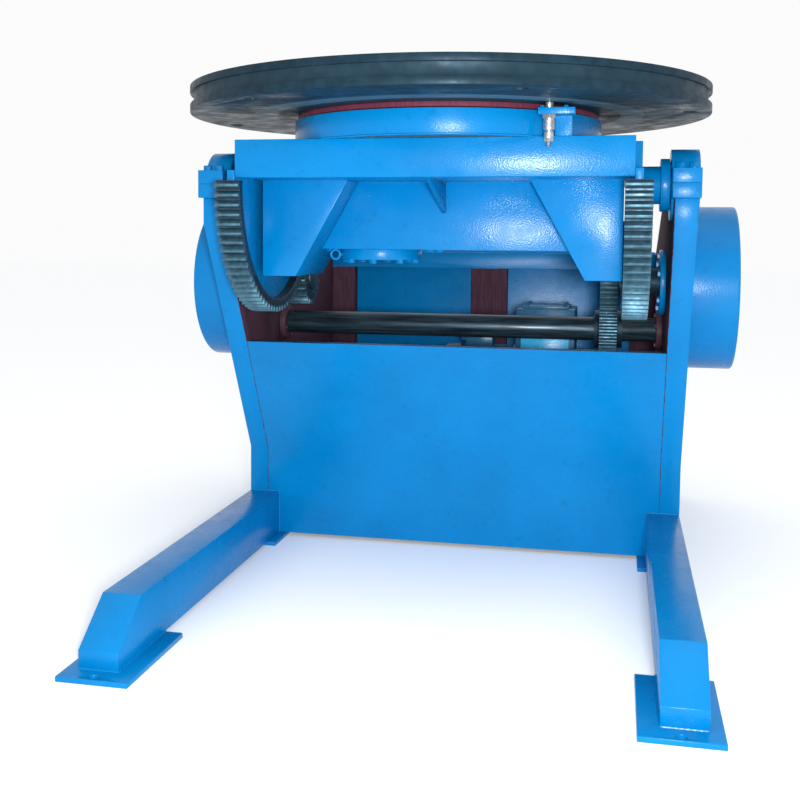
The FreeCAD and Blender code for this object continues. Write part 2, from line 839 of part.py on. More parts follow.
def make_gusset():
    """Triangular rib between the platform's foot and the front of the belly box."""
    rib = new_body("gusset_plate")
    add_pad(
        rib, "YZ_Plane", "-gusset_thick / 2", "gusset_thick",
        [
            ("-platform_front", PLATFORM_FOOT),
            ("-belly_front", f"{PLATFORM_FOOT} - gusset_height"),
            ("-belly_front", PLATFORM_FOOT),
        ],
    )
    finish(rib, "gusset")


def make_side_box(name, side):
    """Tapered box that stiffens the platform beside a sector."""
    hand = "" if side == RIGHT else "-"
    box = new_body(f"side_box_{name}_shell")
    add_pad(
        box, "XZ_Plane", "-side_box_back", "side_box_front + side_box_back",
        [
            (f"{hand}side_box_inner_top", PLATFORM_FOOT),
            (f"{hand}side_box_outer", PLATFORM_FOOT),
            (f"{hand}side_box_outer", f"{PLATFORM_FOOT} - side_box_height"),
            (f"{hand}side_box_inner_foot", f"{PLATFORM_FOOT} - side_box_height"),
        ],
    )
    finish(box, f"side_box_{name}")


def make_web(name, side):
    """Round-bottomed end plate of the platform, inside a sector."""
    start = span(side, "platform_half", "web_thick")
    radius = "sector_inner - weld_gap"
    plate = rod(f"web_{name}_round", "X", (start, "0", "axis_height"), radius, "web_thick")
    below = block(
        f"web_{name}_below", (start, f"-({radius})", f"axis_height - ({radius})"),
        ("web_thick", f"2 * ({radius})", f"{radius} + platform_rise + web_lap"),
    )
    lower = DOCUMENT.addObject("Part::Common", f"web_{name}_lower")
    lower.Base = plate
    lower.Tool = below
    lug = block(
        f"web_{name}_lug", (start, "-web_lug_half", PLATFORM_FOOT),
        ("web_thick", "2 * web_lug_half", "platform_height"),
    )
    finish(fuse(f"web_{name}_plate", [lower, lug]), f"web_{name}")


def make_trunnion(name, side):
    """Stub shaft on a web plate: boss, collar and journal."""
    hand = "" if side == RIGHT else "-"
    housing_face = "(wall_inner - housing_overhang)"
    web_face = "(platform_half + web_thick)"
    collar_end = f"({housing_face} - free_gap)"
    journal_end = f"({WALL_OUTER} + housing_overhang - free_gap)"
    outline = [
        (web_face, "0"),
        (web_face, "boss_radius"),
        (f"{collar_end} - collar_length", "boss_radius"),
        (f"{collar_end} - collar_length", "collar_radius"),
        (collar_end, "collar_radius"),
        (collar_end, "journal_radius"),
        (journal_end, "journal_radius"),
        (journal_end, "0"),
    ]
    stub = new_body(f"trunnion_{name}_stub")
    add_turning(stub, [(f"{hand}({along})", out) for along, out in outline], "H_Axis")
    finish(stub, f"trunnion_{name}", "0", "0", "axis_height")


def make_sector(name, side, train):
    """Toothed ring segment round a web plate."""
    gear = train.sector
    count = int(number("tilt_cut_teeth"))
    pitch = 2 * math.pi / gear.teeth
    first = math.radians(gear.phase) - pitch / 2
    last = first + count * pitch
    inner = number("sector_inner")
    edge = [upright(radius, angle) for radius, angle in gear.outline(count)]
    start, end = upright(gear.root_radius, first), upright(gear.root_radius, last)
    inner_start, inner_end = upright(inner, first), upright(inner, last)
    toothed = Part.makePolygon([inner_start, start] + edge + [end, inner_end])
    arc = Part.Arc(inner_end, upright(inner, (first + last) / 2), inner_start).toShape()
    ring = Part.Face(Part.Wire(toothed.Edges + [arc]))
    face = number("sector_face")
    shape = ring.extrude(FreeCAD.Vector(face, 0, 0))
    start_across = span(side, f"{SECTOR_MIDDLE} - sector_face / 2", "sector_face")
    solid(f"sector_{name}", shape, start_across, "0", "axis_height")


def make_guard():
    """Round skirt with a foot flange on the platform, round the slewing bearing."""
    skirt = new_body("guard_skirt")
    outline = [
        ("guard_radius", "0"),
        ("guard_radius", "guard_height"),
        ("guard_radius - guard_wall", "guard_height"),
        ("guard_radius - guard_wall", "guard_wall"),
        ("race_outer + free_gap", "guard_wall"),
        ("race_outer + free_gap", "0"),
    ]
    add_turning(skirt, outline, "V_Axis")
    finish(skirt, "guard", "0", "0", PLATFORM_TOP)


def make_race():
    """Fixed outer ring of the slewing bearing."""
    race = new_body("slewing_race_ring")
    inner = "(geared_ring_outer + slewing_gap)"
    outline = [
        (inner, "0"),
        ("race_outer", "0"),
        ("race_outer", "race_height"),
        (inner, "race_height"),
    ]
    add_turning(race, outline, "V_Axis")
    finish(race, "slewing_race", "0", "0", PLATFORM_TOP)


def make_slew_gearbox():
    """Flanged housing of the slewing drive, bolted under the belly box."""
    top = "(belly_height + platform_height - free_gap)"
    case = new_body("slew_gearbox_case")
    outline = [
        ("0", "-slew_flange_thick"),
        ("slew_flange_radius", "-slew_flange_thick"),
        ("slew_flange_radius", "0"),
        ("slew_body_radius", "0"),
        ("slew_body_radius", top),
        ("slew_shaft_radius + running_gap", top),
        ("slew_shaft_radius + running_gap", "slew_shaft_root"),
        ("0", "slew_shaft_root"),
    ]
    add_turning(case, outline, "V_Axis")
    sketch = new_sketch(case, "XY_Plane", "-slew_flange_thick")
    draw_circle(sketch, "slew_bolt_circle", "0", "slew_bolt_radius")
    head = case.newObject("PartDesign::Pad", "slew_gearbox_bolt")
    head.Profile = sketch
    head.Reversed = True
    head.setExpression("Length", bind("slew_bolt_height"))
    DOCUMENT.recompute()
    repeat_round(case, head, "slew_bolt_count")
    finish(case, "slew_gearbox", SLEW_ACROSS, SLEW_BACK, f"{PLATFORM_FOOT} - belly_height")


def make_brush_bracket():
    """Post, clamp plate and guide sleeve on the platform's front edge."""
    rod_back = "(-platform_front - brush_out)"
    clamp_foot = f"({PLATFORM_TOP} + brush_clamp_rise)"
    sleeve_foot = f"({PLATFORM_TOP} + brush_sleeve_rise)"
    sleeve_length = f"({clamp_foot} + brush_clamp_height - {sleeve_foot})"
    post = block(
        "brush_post",
        ("brush_across + brush_post_offset", "-platform_front", PLATFORM_TOP),
        ("brush_post_width", "brush_post_depth", "brush_clamp_rise + brush_clamp_height"),
    )
    clamp = block(
        "brush_clamp",
        ("brush_across - brush_clamp_overhang", f"{rod_back} - brush_clamp_front", clamp_foot),
        ("brush_clamp_overhang + brush_post_offset + brush_post_width + brush_clamp_lap",
         "brush_clamp_front + brush_out", "brush_clamp_height"),
    )
    place = ("brush_across", rod_back, sleeve_foot)
    sleeve = rod("brush_sleeve", "Z", place, "brush_sleeve_radius", sleeve_length)
    bore = rod("brush_bore", "Z", place, "brush_rod_radius + running_gap", sleeve_length)
    outer = fuse("brush_outer", [post, clamp, sleeve])
    finish(cut("brush_cut", outer, bore), "brush_bracket")


# ------------------------------------------------------------ slewing pieces
def make_table():
    """Machined disc with a grooved rim, turned centring marks, clamping holes and a bore."""
    plate = new_body("table_plate")
    groove_floor = "(table_radius - rim_groove)"
    outline = [
        ("table_bore", "0"),
        ("table_radius", "0"),
        ("table_radius", "rim_foot"),
        (groove_floor, "rim_foot"),
        (groove_floor, "table_thick - rim_lip"),
        ("table_radius", "table_thick - rim_lip"),
        ("table_radius", "table_thick"),
    ]
    for mark in (2, 1, 0):
        middle = f"(ring_mark_first + {mark} * ring_mark_pitch)"
        outline += [
            (f"{middle} + ring_mark_width / 2", "table_thick"),
            (f"{middle} + ring_mark_width / 2", "table_thick - ring_mark_depth"),
            (f"{middle} - ring_mark_width / 2", "table_thick - ring_mark_depth"),
            (f"{middle} - ring_mark_width / 2", "table_thick"),
        ]
    outline += [
        ("bore_step", "table_thick"),
        ("bore_step", "table_thick - bore_step_depth"),
        ("table_bore", "table_thick - bore_step_depth"),
    ]
    add_turning(plate, outline, "V_Axis")
    hole = drill(
        plate, "XY_Plane", "table_thick", "table_thick",
        [(f"{HOLE_CIRCLE} * cos(table_hole_angle)", f"{HOLE_CIRCLE} * sin(table_hole_angle)")],
        "table_hole_radius",
    )
    repeat_round(plate, hole, "table_hole_count")
    finish(plate, "table", "0", "0", TABLE_FOOT)


def make_adapter():
    """Ring between the table and the geared ring of the slewing bearing."""
    ring = new_body("adapter_plate")
    inner = "(slew_module * slew_ring_teeth / 2 + 2 * slew_module)"
    outline = [
        (inner, "-adapter_thick"),
        ("adapter_radius", "-adapter_thick"),
        ("adapter_radius", "0"),
        (inner, "0"),
    ]
    add_turning(ring, outline, "V_Axis")
    finish(ring, "adapter_ring", "0", "0", TABLE_FOOT)


def make_slewing_gears():
    """Geared inner ring of the bearing and the pinion that drives it from inside."""
    ring = Gear(number("slew_module"), number("slew_ring_teeth"), 0.0, 1, internal=True)
    direction = math.degrees(math.atan2(number(SLEW_BACK), number(SLEW_ACROSS)))
    pinion = ring.mate(direction, number("slew_pinion_teeth"), steps=1)
    depth = number("geared_ring_depth")
    blank = disc(number("geared_ring_outer"), depth, along=UP)
    shape = blank.cut(toothed_disc(ring, depth, level))
    solid("geared_ring", shape, "0", "0",
          f"{TABLE_FOOT} - adapter_thick - geared_ring_depth")
    shaft_foot = number("slew_shaft_root - belly_height - platform_height + free_gap")
    rise, face = number("slew_pinion_rise"), number("slew_pinion_face")
    shaft = disc(number("slew_shaft_radius"), rise + face - shaft_foot, shaft_foot, UP)
    teeth = toothed_disc(pinion, face, level)
    teeth.translate(UP * rise)
    solid("slew_pinion", teeth.fuse(shaft).removeSplitter(), SLEW_ACROSS, SLEW_BACK,
          PLATFORM_TOP)


def make_brush_rod():
    """Spring-loaded rod that presses on the table's underside."""
    rod_top = "(table_rise - platform_rise - platform_height - brush_gap)"
    collar_top = "(brush_sleeve_rise - free_gap)"
    collar_foot = f"({collar_top} - brush_collar_length)"
    outline = [
        ("0", f"{collar_foot} - brush_stem_length"),
        ("brush_stem_radius", f"{collar_foot} - brush_stem_length"),
        ("brush_stem_radius", collar_foot),
        ("brush_collar_radius", collar_foot),
        ("brush_collar_radius", collar_top),
        ("brush_rod_radius", collar_top),
        ("brush_rod_radius", rod_top),
        ("0", rod_top),
    ]
    pin = new_body("brush_pin")
    add_turning(pin, outline, "V_Axis")
    finish(pin, "brush_rod", "brush_across", "-platform_front - brush_out", PLATFORM_TOP)


# --------------------------------------------------------------- tilt drive
def make_pinion(name, side, train):
    """Tilt pinion on its shaft, which runs out through the wall."""
    face = number("pinion_face")
    middle = number(SECTOR_MIDDLE)
    inner_end = middle - face / 2 - number("pinion_stub")
    step = number(f"{WALL_OUTER} + free_gap")
    outer_end = number(f"{WALL_OUTER} + train_start + train_face + gear_hub_length")
    teeth = toothed_disc(train.pinion, face)
    teeth.translate(FreeCAD.Vector(side * middle - face / 2, 0, 0))
    shaft = disc(number("pinion_shaft_radius"), step - inner_end, inner_end, ACROSS * side)
    end = disc(number("pinion_end_radius"), outer_end - step, step, ACROSS * side)
    shape = teeth.fuse([shaft, end]).removeSplitter()
    solid(f"tilt_pinion_{name}", shape, "0", PINION_BACK, PINION_UP)


def make_train_gears(name, side, train):
    """Gear pair under a cover: the wheel on the pinion shaft, the pinion on the cross shaft."""
    start = number(f"{WALL_OUTER} + train_start")
    face = number("train_face")
    shift = ACROSS * (start if side == RIGHT else -start - face)
    wheel = toothed_disc(train.big, face)
    wheel.translate(shift)
    hub_length = face + number("gear_hub_length")
    hub = disc(number("gear_hub_radius"), hub_length, start, ACROSS * side)
    bore = disc(number("pinion_end_radius + weld_gap"), hub_length, start, ACROSS * side)
    wheel = wheel.fuse(hub).cut(bore).removeSplitter()
    solid(f"drive_wheel_{name}", wheel, "0", PINION_BACK, PINION_UP)
    pinion = toothed_disc(train.small, face)
    pinion.translate(shift)
    pinion = pinion.cut(disc(number("cross_end_radius + weld_gap"), face, start, ACROSS * side))
    solid(f"drive_pinion_{name}", pinion, "0", CROSS_BACK, CROSS_UP)


def make_cross_shaft():
    """Shaft across the machine that keeps both tilt pinions in step."""
    shoulder = "(wall_inner - cross_flange_thick - free_gap)"
    journal_end = f"({WALL_OUTER} + free_gap)"
    end = f"({WALL_OUTER} + train_start + train_face + gear_hub_length)"
    half = [
        (end, "cross_end_radius"),
        (journal_end, "cross_end_radius"),
        (journal_end, "cross_journal_radius"),
        (shoulder, "cross_journal_radius"),
        (shoulder, "cross_shaft_radius"),
    ]
    outline = [(f"-{along}", out) for along, out in half]
    outline += half[::-1]
    outline = [(f"-{end}", "0")] + outline + [(end, "0")]
    shaft = new_body("cross_shaft_bar")
    add_turning(shaft, outline, "H_Axis")
    finish(shaft, "cross_shaft", "0", CROSS_BACK, CROSS_UP)


def make_cross_gear(train):
    """Large gear that turns the cross shaft."""
    face = number("cross_gear_face")
    hub_length = number("cross_hub_length")
    middle = number("cross_gear_across")
    hub_start = middle - hub_length / 2
    teeth = toothed_disc(train.cross, face)
    teeth.translate(ACROSS * (middle - face / 2))
    hub = disc(number("cross_hub_radius"), hub_length, hub_start)
    bore = disc(number("cross_shaft_radius + weld_gap"), hub_length, hub_start)
    solid("cross_gear", teeth.fuse(hub).cut(bore).removeSplitter(), "0", CROSS_BACK, CROSS_UP)


def make_motor_pinion(train):
    """Output shaft of the reducer with the pinion that drives the cross gear."""
    face = number("cross_gear_face") + 2 * number("free_gap")
    middle = number("cross_gear_across")
    start = number("reducer_left + reducer_wall + free_gap")
    teeth = toothed_disc(train.motor, face)
    teeth.translate(ACROSS * (middle - face / 2))
    shaft = disc(number("motor_shaft_radius"), middle + face / 2 - start, start)
    solid("motor_pinion", teeth.fuse(shaft).removeSplitter(), "0", MOTOR_BACK, MOTOR_UP)


# ---------------------------------------------------------------- whole part
def make_base():
    """Build everything that stands still."""
    for name, side in SIDES.items():
        make_column(name, side)
        make_leg(name, side)
        make_pads(name, side)
        make_housing(name, side)
        make_drum(name, side)
        make_flange(f"pinion_flange_{name}", side, "pinion_flange_thick",
                    "pinion_flange_radius", "pinion_shaft_radius + running_gap",
                    PINION_BACK, PINION_UP)
        make_flange(f"cross_flange_{name}", side, "cross_flange_thick",
                    "cross_flange_radius", "cross_journal_radius + running_gap",
                    CROSS_BACK, CROSS_UP)
    make_front_panel()
    make_back()
    make_drive_unit()


def make_tilting_frame(train):
    """Build what tilts, without the table."""
    for name, side in SIDES.items():
        make_side_box(name, side)
        make_web(name, side)
        make_trunnion(name, side)
        make_sector(name, side, train)
    make_platform()
    make_belly()
    make_gusset()
    make_guard()
    make_race()
    make_slew_gearbox()
    make_brush_bracket()
    make_brush_rod()


def make_turning_pieces(train):
    """Build the table, the slewing gears and the gears of the tilt drive."""
    make_table()
    make_adapter()
    make_slewing_gears()
    for name, side in SIDES.items():
        make_pinion(name, side, train)
        make_train_gears(name, side, train)
    make_cross_shaft()
    make_cross_gear(train)
    make_motor_pinion(train)


def check_and_export():
    """Stop on any failed object, then write one file for each finished piece."""
    for item in DOCUMENT.Objects:
        if {"Invalid", "Error"} & set(item.State):
            raise ValueError(f"{item.Label} failed: {item.State}")
    os.makedirs("parts", exist_ok=True)
    for piece in FINISHED:
        shape = piece.Shape
        if shape.isNull() or not shape.isValid():
            raise ValueError(f"{piece.Label} has no sound shape")
        shape.exportStep(f"parts/{piece.Label}.step")
    print(f"{len(FINISHED)} pieces written")


def main():
    """Build the machine and write its pieces."""
    fill_sheet()
    train = TiltTrain()
    make_base()
    make_tilting_frame(train)
    make_turning_pieces(train)
    DOCUMENT.recompute()
    check_and_export()


main()
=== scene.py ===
"""Looks of the welding positioner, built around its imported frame.

Everything is in metres in the frame's own axes: +Z up, +X across the machine
and +Y towards its back. Each sub-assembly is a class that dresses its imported
nodes with bevelled copies and adds the pieces that the solids leave out.
"""

import json
import logging
import math
from collections.abc import Iterable, Sequence
from dataclasses import dataclass
from enum import Enum
from itertools import product
from typing import Any

import bmesh
import bpy
from mathutils import Matrix, Vector

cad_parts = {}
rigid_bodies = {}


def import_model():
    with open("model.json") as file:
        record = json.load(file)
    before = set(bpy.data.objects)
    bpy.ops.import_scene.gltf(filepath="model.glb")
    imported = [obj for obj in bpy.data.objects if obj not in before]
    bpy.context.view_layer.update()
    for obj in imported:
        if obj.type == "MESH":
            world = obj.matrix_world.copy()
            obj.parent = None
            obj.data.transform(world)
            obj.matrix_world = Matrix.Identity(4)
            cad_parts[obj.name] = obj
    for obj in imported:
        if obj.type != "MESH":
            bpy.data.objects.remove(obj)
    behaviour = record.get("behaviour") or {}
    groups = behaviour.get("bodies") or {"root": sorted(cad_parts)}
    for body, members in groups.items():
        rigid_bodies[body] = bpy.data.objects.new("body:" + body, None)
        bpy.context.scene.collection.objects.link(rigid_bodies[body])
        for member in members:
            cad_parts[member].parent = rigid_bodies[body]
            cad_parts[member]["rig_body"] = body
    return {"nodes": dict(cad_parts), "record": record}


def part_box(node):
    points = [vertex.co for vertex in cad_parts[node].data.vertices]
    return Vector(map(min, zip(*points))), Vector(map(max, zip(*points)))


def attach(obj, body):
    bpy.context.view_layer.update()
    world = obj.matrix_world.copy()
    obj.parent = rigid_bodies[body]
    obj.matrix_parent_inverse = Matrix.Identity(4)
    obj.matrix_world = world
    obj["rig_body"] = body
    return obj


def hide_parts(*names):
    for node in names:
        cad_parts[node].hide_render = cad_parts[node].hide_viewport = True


Tree = bpy.types.NodeTree
Socket = bpy.types.NodeSocket
Shape = bmesh.types.BMesh
Place = Sequence[float]
Outline = list[tuple[float, float]]

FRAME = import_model()
LOG = logging.getLogger("positioner")
WHITE = "#ffffff"
MM = 0.001
MERGE = 0.01 * MM
FLAT = math.radians(0.4)
CREASE = math.radians(31)
FULL_TURN = 2 * math.pi
BEVEL_STEPS = 2
HEX_SIDES = 6
BEAD_SIDES = 8
BEAD_SHARES = (0.7, 1.1, 0.92)  # width of a bead's tail, crest and trough over its mean
QUARTER_BEND = [math.radians(15 * step) for step in range(7)]
ROUND_WIRE = [math.radians(30 * step) for step in range(12)]
NOISE_LOW, NOISE_HIGH = 0.32, 0.68  # the noise seldom leaves this range
NOISE_ROUGHNESS = 0.55
WAVE_RATE = 20.0  # radians that a wave pattern turns by in one metre at a scale of one
FROM_LOW, FROM_HIGH, TO_LOW, TO_HIGH = 1, 2, 3, 4  # sockets of a Map Range node
FIRST, SECOND, MIXED = 6, 7, 2  # colour sockets of a Mix node
NODE_SLOTS = {part["node"]: part["material_slot"] for part in FRAME["record"]["subparts"]}
SIDES = {"left": -1, "right": 1}
ACROSS, BACK, UP = Vector((1, 0, 0)), Vector((0, 1, 0)), Vector((0, 0, 1))


class Slot(str, Enum):
    """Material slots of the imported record."""

    TABLE = "table_steel"
    BLUE = "blue_paint"
    WALL = "wall_paint"
    PRIMER = "primer"
    GEAR = "gear_steel"
    SHAFT = "shaft_steel"
    BRIGHT = "bright_steel"
    RING = "ring_steel"


class Axis(str, Enum):
    """Axis of the frame that a masked edge is measured along."""

    ACROSS = "X"
    UP = "Z"


# ------------------------------------------------------------------ finishes
def linear(code: str) -> tuple[float, float, float, float]:
    """Turn an sRGB hex colour into the linear one that a shader takes.

    Args:
        code: Colour as "#rrggbb".

    Returns:
        Linear red, green, blue and an alpha of one.
    """
    parts = [int(code[start:start + 2], 16) / 255 for start in (1, 3, 5)]
    red, green, blue = (
        part / 12.92 if part <= 0.04045 else ((part + 0.055) / 1.055) ** 2.4
        for part in parts
    )
    return (red, green, blue, 1.0)


def add(
    tree: Tree, kind: str, inputs: dict[Any, Any] | None = None, out: int | str = 0,
    **settings: Any,
) -> Socket | None:
    """Add one shader node with its settings, values and links.

    Args:
        tree: Node tree that it is added to.
        kind: Node type without its "ShaderNode", such as "Bump".
        inputs: Value or output socket for each input, by name or number.
        out: Name or number of the output that is wanted.
        **settings: The node's own settings.

    Returns:
        That output, or nothing where the node has none.
    """
    made = tree.nodes.new(f"ShaderNode{kind}")
    for name, value in settings.items():
        setattr(made, name, value)
    for key, value in (inputs or {}).items():
        socket = made.inputs[key]
        if isinstance(value, Socket):
            tree.links.new(value, socket)
        else:
            socket.default_value = value
    return made.outputs[out] if made.outputs else None


def spread(
    tree: Tree, place: Socket, size: float, low: float = 0.0, high: float = 1.0,
    detail: float = 3.0,
) -> Socket:
    """Noise of a given real size, stretched from its middle range to low and high.

    Args:
        tree: Node tree of the material.
        place: Object coordinates.
        size: Size of one patch in millimetres.
        low: Value of the darkest patches.
        high: Value of the lightest patches.
        detail: How many finer layers the noise has.

    Returns:
        The stretched value.
    """
    layers = {"Vector": place, "Scale": 1 / (size * MM), "Detail": detail}
    noise = add(tree, "TexNoise", {**layers, "Roughness": NOISE_ROUGHNESS}, "Fac")
    ends = {FROM_LOW: NOISE_LOW, FROM_HIGH: NOISE_HIGH, TO_LOW: low, TO_HIGH: high}
    return add(tree, "MapRange", {"Value": noise, **ends})


def distance_from(tree: Tree, place: Socket, middle: Place, across: Place) -> Socket:
    """Distance of a point from an axis.

    Args:
        tree: Node tree of the material.
        place: Object coordinates.
        middle: Point on the axis.
        across: One for each direction across the axis and zero for the one along it.

    Returns:
        The distance in metres.
    """
    centre = tuple(-part for part in middle)
    centred = add(tree, "Mapping", {"Vector": place, "Location": centre})
    flat = add(tree, "VectorMath", {0: centred, 1: across}, operation="MULTIPLY")
    return add(tree, "VectorMath", {0: flat}, "Value", operation="LENGTH")


@dataclass(frozen=True)
class Finish:
    """One surface finish: two colours in patches, an uneven gloss and a fine grit.

    Its patterns are sized in millimetres of the real surface. A grain under one draws
    a pattern out along that axis.
    """

    name: str
    ground: str = "#808080"
    patches: str = "#707070"
    patch: float = 30.0
    patch_detail: float = 4.0
    gloss_patch: float = 30.0
    smooth: float = 0.3
    rough: float = 0.5
    grit: float = 2.0
    grit_detail: float = 2.0
    grit_depth: float = 0.1
    grit_strength: float = 0.5
    grain: tuple[float, float, float] = (1.0, 1.0, 1.0)
    metallic: float = 0.0
    ior: float = 1.5
    reflection: float = 0.5

    def material(self) -> bpy.types.Material:
        """Make the finish's material, or find it where it is made already.

        Returns:
            The material.
        """
        made = bpy.data.materials.get(self.name)
        if made is None:
            made = bpy.data.materials.new(self.name)
            made.use_nodes = True
            tree = made.node_tree
            tree.nodes.clear()
            place = add(tree, "TexCoord", out="Object")
            surface = add(tree, "BsdfPrincipled", {
                "Base Color": self.colour(tree, place), "Metallic": self.metallic,
                "Roughness": self.roughness(tree, place), "IOR": self.ior,
                "Specular IOR Level": self.reflection, "Normal": self.relief(tree, place),
            })
            add(tree, "OutputMaterial", {"Surface": surface})
        return made

    def colour(self, tree: Tree, place: Socket) -> Socket:
        """Break the ground colour by patches of the other.

        Args:
            tree: Node tree of the material.
            place: Object coordinates.

        Returns:
            The colour.
        """
        share = spread(tree, place, self.patch, detail=self.patch_detail)
        tones = {0: share, FIRST: linear(self.ground), SECOND: linear(self.patches)}
        return add(tree, "Mix", tones, MIXED, data_type="RGBA")

    def roughness(self, tree: Tree, place: Socket) -> Socket:
        """Return a roughness that varies from patch to patch."""
        return spread(tree, place, self.gloss_patch, self.smooth, self.rough)

    def relief(self, tree: Tree, place: Socket) -> Socket:
        """Roughen the surface with grit.

        Args:
            tree: Node tree of the material.
            place: Object coordinates.

        Returns:
            The normal.
        """
        grit = spread(tree, place, self.grit, detail=self.grit_detail)
        depth = {"Distance": self.grit_depth * MM, "Strength": self.grit_strength}
        return add(tree, "Bump", {"Height": grit, **depth})

    def drawn_out(self, tree: Tree, place: Socket) -> Socket:
        """Return coordinates drawn out along the grain."""
        return add(tree, "Mapping", {"Vector": place, "Scale": self.grain})


@dataclass(frozen=True)
class HammeredEnamel(Finish):
    """Alkyd machine enamel, sprayed thick over welded plate and castings."""

    # It dries in small round dimples, so the eye gets sparkle where smooth paint would
    # show one clean highlight. The real dimples are 1 to 2 mm wide: they are drawn 3.4 mm
    # wide so that they show. The plate under them is a little wavy, and dust clings to
    # it in darker patches.
    ground: str = "#006fac"
    patches: str = "#0067a1"
    patch: float = 260.0
    patch_detail: float = 2.0
    gloss_patch: float = 60.0
    smooth: float = 0.2
    rough: float = 0.32
    reflection: float = 0.17
    grime: str = "#054b6e"
    grime_patch: float = 24.0
    grime_detail: float = 7.0
    grime_share: tuple[float, float] = (-0.7, 0.2)
    dimple: float = 3.4
    dimple_depth: float = 0.38
    dimple_strength: float = 0.8
    wave: float = 160.0
    wave_depth: float = 0.4
    wave_strength: float = 0.25

    def colour(self, tree: Tree, place: Socket) -> Socket:
        """Lay faint spray passes of blue with a few dusty patches.

        Args:
            tree: Node tree of the material.
            place: Object coordinates.

        Returns:
            The colour.
        """
        coat = super().colour(tree, place)
        dust = spread(tree, place, self.grime_patch, *self.grime_share, self.grime_detail)
        layers = {0: dust, FIRST: coat, SECOND: linear(self.grime)}
        return add(tree, "Mix", layers, MIXED, data_type="RGBA")

    def relief(self, tree: Tree, place: Socket) -> Socket:
        """Dimple the paint over a slow waviness of the plate.

        Args:
            tree: Node tree of the material.
            place: Object coordinates.

        Returns:
            The normal.
        """
        scale = 1 / (self.dimple * MM)
        cells = add(
            tree, "TexVoronoi", {"Vector": place, "Scale": scale, "Smoothness": 1.0}, "Distance",
            feature="SMOOTH_F1",
        )
        depth = {"Distance": self.dimple_depth * MM, "Strength": self.dimple_strength}
        dimples = add(tree, "Bump", {"Height": cells, **depth})
        waves = spread(tree, place, self.wave, detail=0.0)
        depth = {"Distance": self.wave_depth * MM, "Strength": self.wave_strength}
        return add(tree, "Bump", {"Height": waves, "Normal": dimples, **depth})


@dataclass(frozen=True)
class OxidePrimer(Finish):
    """Red-oxide primer, brushed thin over blasted plate and left without a top coat."""

    # It gives the eye a matt brown-red with a fine tooth, in strokes that run up and
    # down. A brush leaves strokes about 1 mm wide: they are drawn 6 mm wide to show.
    ground: str = "#4a3140"
    patches: str = "#37232f"
    patch: float = 6.0
    grain: tuple[float, float, float] = (1.0, 1.0, 0.08)
    smooth: float = 0.5
    rough: float = 0.72
    grit: float = 1.6
    grit_depth: float = 0.2
    ior: float = 1.45
    reflection: float = 0.25

    def colour(self, tree: Tree, place: Socket) -> Socket:
        """Return brown-red in uneven brush strokes that run up and down."""
        return super().colour(tree, self.drawn_out(tree, place))


@dataclass(frozen=True)
class TwoCoats(Finish):
    """Plate enamelled blue beyond a masked edge and left in red primer short of it."""

    # The eye gets glossy blue and matt brown-red on one plate, and between them the
    # slightly uneven edge that masking tape leaves.
    edge_axis: Axis = Axis.UP
    edge_line: float = 0.84
    edge_patch: float = 20.0
    edge_wander: float = 1.2
    smooth: float = 0.3
    rough: float = 0.85
    reflection: float = 0.15
    enamel: HammeredEnamel = HammeredEnamel("hammered blue enamel")
    primer: OxidePrimer = OxidePrimer("red oxide primer")

    def beyond(self, tree: Tree, place: Socket) -> Socket:
        """Tell the two sides of the masked edge apart.

        Args:
            tree: Node tree of the material.
            place: Object coordinates.

        Returns:
            One beyond the edge on either side of the machine, and zero short of it.
        """
        reach = add(tree, "SeparateXYZ", {0: place}, self.edge_axis.value)
        distance = add(tree, "Math", {0: reach}, operation="ABSOLUTE")
        wander = self.edge_wander * MM
        uneven = spread(tree, place, self.edge_patch, -wander, wander)
        past = add(tree, "Math", {0: distance, 1: uneven}, operation="ADD")
        return add(tree, "Math", {0: past, 1: self.edge_line}, operation="GREATER_THAN")

    def colour(self, tree: Tree, place: Socket) -> Socket:
        """Show the enamel's colour beyond the edge and the primer's short of it.

        Args:
            tree: Node tree of the material.
            place: Object coordinates.

        Returns:
            The colour.
        """
        first, second = self.primer.colour(tree, place), self.enamel.colour(tree, place)
        coats = {0: self.beyond(tree, place), FIRST: first, SECOND: second}
        return add(tree, "Mix", coats, MIXED, data_type="RGBA")

    def roughness(self, tree: Tree, place: Socket) -> Socket:
        """Return a gloss beyond the edge and a matt surface short of it."""
        beyond = self.beyond(tree, place)
        return add(tree, "MapRange", {"Value": beyond, TO_LOW: self.rough, TO_HIGH: self.smooth})

    def relief(self, tree: Tree, place: Socket) -> Socket:
        """Return the enamel's dimples."""
        return self.enamel.relief(tree, place)


